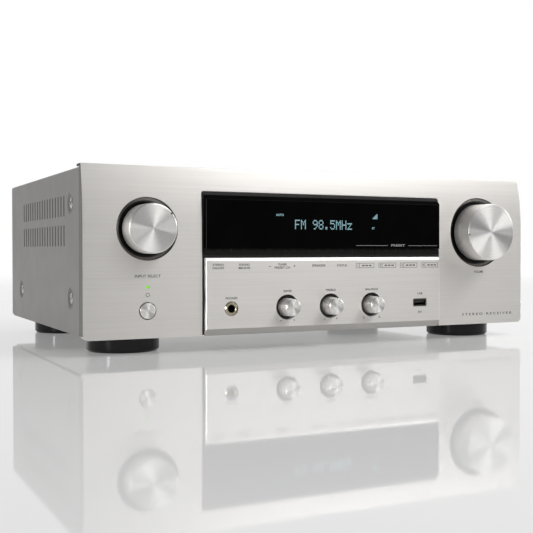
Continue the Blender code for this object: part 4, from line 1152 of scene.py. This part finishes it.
def build_input_jacks():
    low, high = JACKS_LOW, JACKS_HIGH
    plate = solid(add_block, (low.x, high.x), (SEAT, JACKS_FACE), (low.z, high.z))
    bevel(plate, 0.0003)
    parts = [colour_with(plate, M["moulding"]),
             coloured("moulding", add_block, (low.x, high.x), (low.y, 0.278), (low.z, high.z))]
    tip = high.y - 0.0008
    shell = [(RCA_INNER_R, SEAT), (RCA_R, SEAT), (RCA_R, high.y - 0.0005), (RCA_R - 0.0005, high.y),
             (RCA_INNER_R, high.y)]
    inner = [(RCA_PIN_R, SEAT), (RCA_INNER_R, SEAT), (RCA_INNER_R, tip), (RCA_PIN_R, tip)]
    base = [(RCA_R, JACKS_FACE - GAP), (RCA_BASE_R, JACKS_FACE - GAP), (RCA_BASE_R, JACKS_FACE + 0.0006),
            (RCA_BASE_R - 0.0006, JACKS_FACE + 0.0010), (RCA_R, JACKS_FACE + 0.0010)]
    for x in RCA_X:
        for z in RCA_Z:
            colour = "white" if z > RCA_Z[0] else "red"
            parts.append(coloured("moulding", add_rod, "Y", (x, z), RCA_R, 0.277, SEAT + GAP, 32))
            for used, profile, sides in (("steel", shell, 40), (colour, inner, 32), (colour, base, 48)):
                parts.append(coloured(used, add_turned, "Y", (x, z), profile, sides, True))
    for x in ((RCA_X[0] + RCA_X[1]) / 2, (RCA_X[3] + RCA_X[4]) / 2):
        parts.append(small_screw(x, sum(RCA_Z) / 2, JACKS_FACE, 0.0018))
    finish_piece(join(parts), "input_sockets", None, "case", ["input_jacks"])


def build_antenna():
    low, high = box_here("antenna_socket")
    spot = (ANTENNA.x, ANTENNA.z)
    outer, floor = ANTENNA_R, ANTENNA_FLOOR
    flange, neck, flange_back = 0.0075, 0.0044, 0.2875
    thread = threaded(outer, floor, high.y - 0.0008, 0.0008, 0.0003)
    profile = [(0.0, low.y), (flange, low.y), (flange, flange_back), (neck, flange_back), (neck, SEAT),
               (outer, SEAT), (outer, floor - 0.0004), *thread, (outer - 0.0005, high.y),
               (ANTENNA_INNER_R, high.y), (ANTENNA_INNER_R, floor), (0.0, floor)]
    nut = [(outer, 0.2896), (0.0074, 0.2896), (0.0074, 0.2911), (0.0068, 0.2915), (outer, 0.2915)]
    core = [(0.0007, 0.2921), (0.0035, 0.2921), (0.0035, high.y - 0.0012), (0.0007, high.y - 0.0012)]
    parts = [coloured("steel", add_turned, "Y", spot, profile, 48),
             coloured("steel", add_turned, "Y", spot, nut, 6, True),
             coloured("white", add_turned, "Y", spot, core, 32, True)]
    finish_piece(join(parts), "aerial_socket", None, "case", ["antenna_socket"], sharp=25)


def build_ac():
    low, high = AC_LOW, AC_HIGH
    flange = solid(add_prism, "Y", rounded_box((high.x - low.x) / 2, (high.z - low.z) / 2, 0.003, (AC.x, AC.z)),
                   SEAT, high.y)
    unite(flange, solid(add_block, around(AC.x, AC_BODY[0]), (low.y, SEAT + GAP), around(AC.z, AC_BODY[1])))
    half_x, half_z = AC_CAVITY
    chamfer = AC_CHAMFER
    cavity = [(-half_x, -half_z), (half_x, -half_z), (half_x, half_z - chamfer), (half_x - chamfer, half_z),
              (chamfer - half_x, half_z), (-half_x, half_z - chamfer)]
    cut(flange, solid(add_prism, "Y", [(AC.x + x, AC.z + z) for x, z in cavity], high.y - 0.019, high.y + 0.01))
    bevel(flange, 0.0004)
    parts = [colour_with(flange, M["moulding"])]
    for dx, dz in AC_PINS:
        pin = solid(add_block, around(AC.x + dx, 0.002), (high.y - 0.020, AC_PIN_END), around(AC.z + dz, 0.004))
        bevel(pin, 0.0004)
        parts.append(colour_with(pin, M["steel"]))
    for side in (-1, 1):
        parts.append(small_screw(AC.x + side * 0.0142, AC.z, high.y - 0.0012, 0.0014))
    finish_piece(join(parts), "mains_inlet_body", None, "case", ["ac_inlet"])


# Each port: middle, outer width and height, inner width and height, depth.
HDMI_PORTS = [(x, 0.0156, 0.0066, 0.0142, 0.0052, 0.0105) for x in HDMI_X]
LAN_PORT = (LAN_X, 0.0160, 0.0140, 0.0120, 0.0090, 0.013)
PORT_FRONT = 0.270
CONTACT_PITCH, CONTACT_WIDTH = 0.001, 0.0005
PORT_SCREWS = (-0.136, -0.080, -0.0445)


def row_of_contacts(count, first, back, z):
    return [(add_block, around(first + CONTACT_PITCH * i, CONTACT_WIDTH), back, z) for i in range(count)]


def build_digital_board():
    low = PORT_Z - 0.007
    board = solid(add_block, BOARD_X, BOARD_Y, (low - 0.0016, low + 0.00002))
    bevel(board, 0.0002)
    parts = [colour_with(board, M["board"])]
    for x, y in CHIPS:
        chip = solid(add_block, around(x, CHIP[0]), around(y, CHIP[0]), (low, low + CHIP[1]))
        bevel(chip, 0.0004)
        parts.append(colour_with(chip, M["black"]))
    plate = solid(add_block, PORT_PLATE[0], (PANEL_LOW.y, PANEL_HIGH.y), PORT_PLATE[1])
    ports = [*HDMI_PORTS, LAN_PORT]
    cut(plate, shapes([(add_block, around(x, wide + 0.0001), (0.28, 0.30), around(PORT_Z, tall + 0.0001))
                       for x, wide, tall, *rest in ports]))
    bevel(plate, 0.0003)
    parts.append(colour_with(plate, M["zinc"]))
    for port in ports:
        x, wide, tall, inner_wide, inner_tall, depth = port
        shell = solid(add_block, around(x, wide), (PORT_FRONT, PORT_BACK), around(PORT_Z, tall))
        floor = PORT_BACK - depth
        through = (floor, PORT_BACK + 0.01)
        if port is LAN_PORT:
            cut(shell, solid(add_block, around(x, inner_wide), through, around(PORT_Z, inner_tall)))
            cut(shell, solid(add_block, around(x, 0.0062), through, around(PORT_Z + 0.0048, 0.0020)))
            contacts = row_of_contacts(8, x - 0.0035, (floor, PORT_BACK - 0.004),
                                       (PORT_Z - 0.0042, PORT_Z - 0.0036))
        else:
            half = inner_wide / 2
            slant_x, slant_z = 0.0018, 0.0017
            lowered, raised = PORT_Z - inner_tall / 2, PORT_Z + inner_tall / 2
            outline = [(x - half + slant_x, lowered), (x + half - slant_x, lowered), (x + half, lowered + slant_z),
                       (x + half, raised), (x - half, raised), (x - half, lowered + slant_z)]
            cut(shell, solid(add_prism, "Y", outline, *through))
            parts.append(coloured("black", add_block, around(x, 0.0108), (floor - 0.0001, PORT_BACK - 0.0012),
                                  around(PORT_Z + 0.0004, 0.0014)))
            parts.append(coloured("black", add_block, around(x, wide), (PORT_FRONT, 0.2785),
                                  (low, PORT_Z - tall / 2)))
            contacts = row_of_contacts(10, x - 0.0045, (floor, PORT_BACK - 0.002),
                                       (PORT_Z - 0.0004, PORT_Z - 0.00025))
        bevel(shell, 0.00015, 1)
        parts.append(colour_with(shell, M["steel"]))
        parts.append(colour_with(shapes(contacts), M["gold"]))
    for x in PORT_SCREWS:
        parts.append(small_screw(x, PORT_Z, PLATE_BACK, 0.0017))
    finish_piece(join(parts), "port_board", None, "case", ["digital_board"])


REAR_OUTLINES = (((-0.164, -0.044), (0.014, 0.070)), ((0.077, 0.178), (0.010, 0.0815)),
                 ((-0.168, -0.014), (0.0865, 0.1235)))
REAR_LINE = 0.0004
INK = 0.00006


def build_rear_printing():
    """Plain printed outlines, input numbers and polarity signs."""
    back = PLATE_BACK
    bm = bmesh.new()
    for x, z in REAR_OUTLINES:
        outline_box(bm, x, z, back + INK, REAR_LINE)
    made = [from_bmesh("outlines", bm)]
    for number, x in enumerate(RCA_X):
        made.append(rear_text(str(number + 1), 0.0050, (x, 0.0636), back))
    for number, x in enumerate(HDMI_X):
        made.append(rear_text(str(number + 1), 0.0040, (x, 0.1195), back))
    for name, z in (("L", RCA_Z[1]), ("R", RCA_Z[0])):
        made.append(rear_text(name, 0.0046, (-0.0480, z), back))
    for number in range(1, 9):
        centre = CAP_CENTRES[number]
        level = 0.0740 if number > 4 else 0.0128
        made.append(rear_text("+" if number % 2 else "-", 0.0050, (centre.x, level), back))
    print_pieces(made, "rear_printing")


def dress_inner_units():
    """Materials for the CAD bodies that stay as they are inside the case."""
    wear = {"bottom_chassis": "zinc", "source_shaft": "shaft", "volume_shaft": "shaft", "source_encoder": "encoder",
            "volume_encoder": "encoder", "tone_board": "brown_board", "display_module": "brown_board",
            "main_board": "brown_board", "transformer": "core", "heat_sink": "fins", "capacitor_1": "sleeve",
            "capacitor_2": "sleeve"}
    for node, used in wear.items():
        colour_with(NODES[node], M[used])


# ---------------------------------------------------------------- lettering and display

LETTER_WEIGHT = 0.00004
LABEL = 0.0027


def flat_text(words, size, centre, y, depth=INK, width=None, spacing=1.0):
    """Letters as a thin solid facing the front."""
    curve = bpy.data.curves.new("letters", "FONT")
    curve.body = words
    curve.size = size
    curve.align_x = "CENTER"
    curve.align_y = "CENTER"
    curve.extrude = depth / 2
    curve.resolution_u = 3
    curve.offset = LETTER_WEIGHT
    curve.space_character = spacing
    holder = bpy.data.objects.new("letters", curve)
    bpy.context.scene.collection.objects.link(holder)
    bpy.context.view_layer.update()
    graph = bpy.context.evaluated_depsgraph_get()
    mesh = bpy.data.meshes.new_from_object(holder.evaluated_get(graph))
    bpy.data.objects.remove(holder, do_unlink=True)
    bpy.data.curves.remove(curve)
    made = bpy.data.objects.new("letters", mesh)
    bpy.context.scene.collection.objects.link(made)
    xs = [v.co.x for v in mesh.vertices]
    stretch = width / (max(xs) - min(xs)) if width else 1.0
    turn = Matrix.Rotation(math.pi / 2, 4, "X")
    place = Matrix.Translation((centre[0], y - depth / 2, centre[1]))
    mesh.transform(place @ turn @ Matrix.Diagonal((stretch, 1, 1, 1)))
    return made


def rear_text(words, size, centre, y):
    """Letters read from behind the unit."""
    made = flat_text(words, size, (0.0, 0.0), 0.0)
    place = Matrix.Translation((centre[0], y, centre[1])) @ Matrix.Rotation(math.pi, 4, "Z")
    made.data.transform(place)
    return made


def outline_box(bm, x, z, y, line, depth=INK):
    add_block(bm, x, (y - depth, y), (z[0], z[0] + line))
    add_block(bm, x, (y - depth, y), (z[1] - line, z[1]))
    for edge in (x[0], x[1] - line):
        add_block(bm, (edge, edge + line), (y - depth, y), (z[0] + line, z[1] - line))


DOT_ROWS = {
    "F": "11111 10000 10000 11110 10000 10000 10000",
    "M": "10001 11011 10101 10101 10001 10001 10001",
    "9": "01110 10001 10001 01111 00001 00010 01100",
    "8": "01110 10001 10001 01110 10001 10001 01110",
    ".": "00000 00000 00000 00000 00000 01100 01100",
    "5": "11111 10000 11110 00001 00001 10001 01110",
    "H": "10001 10001 10001 11111 10001 10001 10001",
    "z": "00000 00000 11111 00010 00100 01000 11111",
    " ": "00000 00000 00000 00000 00000 00000 00000",
}


DISPLAY_WORDS = "FM 98.5MHz"
DISPLAY_X, DISPLAY_Z = (-0.0349, 0.0217), (0.0884, 0.0966)
DOT_COLUMNS, DOT_LINES = 6, 7
DOT_SHARE = 0.8
LAST_GAP = 0.17
DISPLAY_RELIEF = 0.00012
METER_X, METER_PITCH, METER_BAR = 0.0432, 0.0013, 0.0008
METER_Z, METER_STEP = (0.0983, 0.0995), 0.0011
LEGEND_LINES = ((0.0258, 0.0590), (0.0812, 0.1133))
LEGEND_Z = 0.0747
FINE_LINE = 0.00032


def build_display():
    bm = bmesh.new()
    front = BLOCK_FRONT - DISPLAY_RELIEF
    left, right = DISPLAY_X
    bottom, top = DISPLAY_Z
    pitch = (right - left) / (len(DISPLAY_WORDS) - LAST_GAP)
    dot_x = pitch / DOT_COLUMNS
    dot_z = (top - bottom) / DOT_LINES
    for place, letter in enumerate(DISPLAY_WORDS):
        for row, bits in enumerate(DOT_ROWS[letter].split()):
            for column, bit in enumerate(bits):
                if bit == "1":
                    x = left + pitch * place + dot_x * column
                    z = top - dot_z * row
                    add_block(bm, (x, x + dot_x * DOT_SHARE), (front, BLOCK_FRONT), (z - dot_z * DOT_SHARE, z))
    for i in range(4):
        x = METER_X + METER_PITCH * i
        add_block(bm, (x, x + METER_BAR), (front, BLOCK_FRONT), (METER_Z[0], METER_Z[1] + METER_STEP * i))
    lit = [from_bmesh("dots", bm)]
    for words, spot in (("AUTO", (-0.0492, 0.1004)), ("ST", (0.0437, 0.0900))):
        lit.append(flat_text(words, 0.0026, spot, BLOCK_FRONT, depth=DISPLAY_RELIEF))
    for piece in lit:
        colour_with(piece, M["glow"])
    finish_piece(join(lit), "display_characters", None, "case", ())
    bm = bmesh.new()
    for x in LEGEND_LINES:
        add_block(bm, x, (BLOCK_FRONT - 0.00008, BLOCK_FRONT), around(LEGEND_Z, FINE_LINE))
    text = flat_text("PRESET", LABEL, (0.0701, LEGEND_Z + 0.0001), BLOCK_FRONT, width=0.0150)
    legend = [colour_with(piece, M["legend"]) for piece in (from_bmesh("line", bm), text)]
    finish_piece(join(legend), "window_legend", None, "case", ())


# Words, letter height, middle and width on the fascia and on the lower panel.
FASCIA_WORDS = (("INPUT SELECT", 0.0030, (-KNOB_X, 0.0497), 0.0215, 1.0),
                ("VOLUME", 0.0030, (KNOB_X, 0.0498), 0.0108, 1.0),
                ("STEREO RECEIVER", 0.0031, (0.1752, 0.0094), 0.0600, 1.5))
POWER_RING = (0.00125, 0.00165, 0.0349)
UPPER_ROW, LOWER_ROW, SINGLE_ROW = 0.0583, 0.0556, 0.0571
TONE_ROW, SIGN_ROW, BOX_ROW = 0.0356, 0.0105, 0.0569
TWO_LINES = ((-0.1058, "STEREO", 0.0098, "ON/OFF", 0.0104), (-0.0823, "SOUND", 0.0098, "MODE", 0.0104),
             (-0.0470, "TUNER", 0.0085, "PRESET CH", 0.0145))
SINGLES = (("+", 0.0040, (-0.0355, BOX_ROW), None),
           ("SPEAKERS", LABEL, (-0.0118, SINGLE_ROW), 0.0132), ("STATUS", LABEL, (0.0114, SINGLE_ROW), 0.0098),
           ("PHONES", LABEL, (JACK.x, 0.0306), 0.0106), ("USB", LABEL, (USB.x, 0.0307), 0.0052),
           ("5V", LABEL, (USB.x, 0.0137), 0.0042), ("BASS", LABEL, (-0.0421, TONE_ROW), 0.0075),
           ("TREBLE", LABEL, (0.0, TONE_ROW), 0.0103), ("BALANCE", LABEL, (0.0421, TONE_ROW), 0.0130),
           ("+", 0.0032, (-0.0357, SIGN_ROW), None), ("+", 0.0032, (0.0062, SIGN_ROW), None),
           ("L", LABEL, (0.0340, SIGN_ROW), None), ("R", LABEL, (0.0503, SIGN_ROW), None))
MINUS_SIGNS = ((-0.0588, BOX_ROW, 0.0022), (-0.0485, SIGN_ROW, 0.0017), (-0.0061, SIGN_ROW, 0.0017))
BOXES_X = ((0.0258, 0.0446), (0.0496, 0.0680), (0.0726, 0.0910), (0.0962, 0.1140))
BOXES_Z = (0.0547, 0.0591)
BOX_DIVIDER, BOX_NUMBER = 0.0034, 0.0019
BAR_START, BAR_PITCH, BAR_SIZE = 0.0062, 0.0036, (0.0026, 0.0011)


def print_pieces(made, name):
    for piece in made:
        colour_with(piece, M["ink"])
    finish_piece(join(made), name, None, "case", ())


def build_lettering():
    made = [flat_text(words, size, centre, 0.0, width=width, spacing=spacing)
            for words, size, centre, width, spacing in FASCIA_WORDS]
    inner, outer, level = POWER_RING
    ring = [(inner, -INK), (outer, -INK), (outer, 0.0), (inner, 0.0)]
    made.append(solid(add_turned, "Y", (-KNOB_X, level), ring, 40, True))
    print_pieces(made, "fascia_lettering")
    y = BLOCK_FRONT
    made = []
    for x, upper, upper_width, lower, lower_width in TWO_LINES:
        made.append(flat_text(upper, 0.0025, (x, UPPER_ROW), y, width=upper_width))
        made.append(flat_text(lower, 0.0025, (x, LOWER_ROW), y, width=lower_width))
    for words, size, centre, width in SINGLES:
        made.append(flat_text(words, size, centre, y, width=width))
    bm = bmesh.new()
    ink = (y - INK, y)
    bottom, top = BOXES_Z
    for x, z, length in MINUS_SIGNS:
        add_block(bm, around(x, length), ink, around(z, 0.0005))
    for number, (start, end) in enumerate(BOXES_X):
        outline_box(bm, (start, end), BOXES_Z, y, FINE_LINE)
        divider = start + BOX_DIVIDER
        add_block(bm, (divider, divider + FINE_LINE), ink, (bottom + FINE_LINE, top - FINE_LINE))
        made.append(flat_text(str(number + 1), LABEL, (start + BOX_NUMBER, BOX_ROW), y))
        for bar in range(3):
            x = start + BAR_START + BAR_PITCH * bar
            add_block(bm, (x, x + BAR_SIZE[0]), ink, around(BOX_ROW, BAR_SIZE[1]))
    made.append(from_bmesh("boxes", bm))
    print_pieces(made, "panel_lettering")


# ---------------------------------------------------------------- studio

WORLD_DIM = 0.262
WORLD_BACK = 0.78
BACKDROP_WAY = (0.46, 0.888, 0.0)
BACKDROP_EDGES = (0.2, 0.92)
LAMP_AIM = (0.0, 0.0, 0.08)
OFF_FLOOR = ("strip", "rim")
FLOOR_HALF, FLOOR_THICKNESS = 12.0, 0.02
FADE = (1.1, 2.6)
LAMPS = (("key", (0.47, -0.50, 0.71), 1.7, (0.95, 0.5), 5.3),
         ("key_wide", (0.45, -0.55, 0.60), 1.7, (1.8, 1.0), 6.6),
         ("strip", (0.92, -0.30, 0.24), 1.8, (0.20, 0.5), 7.0),
         ("rim", (-0.88, -0.47, 0.05), 1.8, (0.12, 0.8), 12.5))


def build_world(scene):
    """White backdrop behind, soft grey light from everywhere else."""
    world = bpy.data.worlds.new("studio")
    scene.world = world
    world.use_nodes = True
    tree = world.node_tree
    backdrop = tree.nodes["Background"]
    backdrop.inputs["Strength"].default_value = 1.0
    direction = tree.nodes.new("ShaderNodeTexCoord")
    along = tree.nodes.new("ShaderNodeVectorMath")
    along.operation = "DOT_PRODUCT"
    along.inputs[1].default_value = BACKDROP_WAY
    tree.links.new(direction.outputs["Generated"], along.inputs[0])
    ramp = tree.nodes.new("ShaderNodeMapRange")
    ramp.interpolation_type = "SMOOTHSTEP"
    for socket, value in (("From Min", BACKDROP_EDGES[0]), ("From Max", BACKDROP_EDGES[1]),
                          ("To Min", WORLD_DIM), ("To Max", WORLD_BACK)):
        ramp.inputs[socket].default_value = value
    tree.links.new(along.outputs["Value"], ramp.inputs["Value"])
    rays = tree.nodes.new("ShaderNodeLightPath")
    mix = tree.nodes.new("ShaderNodeMix")
    mix.data_type = "FLOAT"
    mix.inputs[MIX_FLOATS[1]].default_value = 1.0
    tree.links.new(rays.outputs["Is Camera Ray"], mix.inputs[MIX_FACTOR])
    tree.links.new(ramp.outputs["Result"], mix.inputs[MIX_FLOATS[0]])
    tree.links.new(mix.outputs[MIX_FLOAT_OUT], backdrop.inputs["Color"])


def fade_far(made):
    """Let the far floor run into the white backdrop where the eye sees it directly."""
    reach = made.node("ShaderNodeVectorMath", operation="LENGTH")
    made.link(made.coordinate(), reach.inputs[0])
    far = made.node("ShaderNodeMapRange", interpolation_type="SMOOTHSTEP")
    far.inputs["From Min"].default_value, far.inputs["From Max"].default_value = FADE
    made.link(reach.outputs["Value"], far.inputs["Value"])
    seen = made.node("ShaderNodeMath", operation="MULTIPLY")
    made.link(far.outputs["Result"], seen.inputs[0])
    made.link(made.node("ShaderNodeLightPath").outputs["Is Camera Ray"], seen.inputs[1])
    white = made.node("ShaderNodeEmission")
    mix = made.node("ShaderNodeMixShader")
    made.link(seen.outputs[0], mix.inputs[0])
    made.link(made.shader.outputs[0], mix.inputs[1])
    made.link(white.outputs[0], mix.inputs[2])
    made.link(mix.outputs[0], made.tree.nodes["Material Output"].inputs["Surface"])


def build_studio():
    scene = bpy.context.scene
    scene.view_settings.view_transform = "Standard"
    floor = solid(add_block, (-FLOOR_HALF, FLOOR_HALF), (-FLOOR_HALF, FLOOR_HALF), (-FLOOR_THICKNESS, 0.0))
    floor.name = "studio_floor"
    made = Surface("studio_floor", (0.88, 0.88, 0.88), 0.04, Emission_Strength=0.19)
    made.put("Emission Color", (1.0, 1.0, 1.0, 1.0))
    cloud = made.noise(3.0, 2.0)
    made.rough(cloud, 0.035, 0.05)
    fade_far(made)
    colour_with(floor, made.material)
    build_world(scene)
    aim = Vector(LAMP_AIM)
    off_floor = bpy.data.collections.new("off_floor")
    off_floor.objects.link(floor)
    off_floor.collection_objects[0].light_linking.link_state = "EXCLUDE"
    for name, direction, distance, size, power in LAMPS:
        light = bpy.data.lights.new(name, "AREA")
        light.shape = "RECTANGLE"
        light.size, light.size_y = size
        light.energy = power
        lamp = bpy.data.objects.new(name, light)
        scene.collection.objects.link(lamp)
        lamp.visible_camera = False
        if name in OFF_FLOOR:
            lamp.light_linking.receiver_collection = off_floor
        lamp.location = aim + Vector(direction).normalized() * distance
        lamp.rotation_euler = (aim - lamp.location).to_track_quat("-Z", "Y").to_euler()


CAMERA_LENS, CAMERA_SENSOR, CAMERA_SHIFT = 62.91, 36.0, -0.0629
CAMERA_YAW, CAMERA_PITCH = 0.4774, -0.0171
CAMERA_SPOT = (-0.3978, -0.7148, 0.0702)


def build_camera():
    """Eye-level product view from the front left; the unit is a little right of the lens axis."""
    camera = bpy.data.cameras.new("camera")
    camera.sensor_width = CAMERA_SENSOR
    camera.lens = CAMERA_LENS
    camera.shift_x = CAMERA_SHIFT
    camera.clip_start = 0.01
    holder = bpy.data.objects.new("camera", camera)
    bpy.context.scene.collection.objects.link(holder)
    level = math.cos(CAMERA_PITCH)
    forward = Vector((math.sin(CAMERA_YAW) * level, math.cos(CAMERA_YAW) * level, math.sin(CAMERA_PITCH)))
    holder.location = Vector(CAMERA_SPOT) + SHIFT
    holder.rotation_euler = forward.to_track_quat("-Z", "Y").to_euler()
    bpy.context.scene.camera = holder


build_camera()
build_studio()
build_fascia()
build_lower_panel()
build_window()
build_keys()
build_main_knob("source_knob", SOURCE_KNOB_R, 0.0013, 39.0)
build_main_knob("volume_knob", VOLUME_KNOB_R, 0.0008, 186.0)
for tone in TONE_KNOBS:
    build_tone_knob(tone)
build_power_button()
build_led()
build_surround()
build_jack()
build_usb()
build_feet()
build_cover()
build_side_screws()
build_display()
build_lettering()
build_rear_panel()
build_terminals()
build_input_jacks()
build_antenna()
build_ac()
build_digital_board()
build_rear_printing()
dress_inner_units()
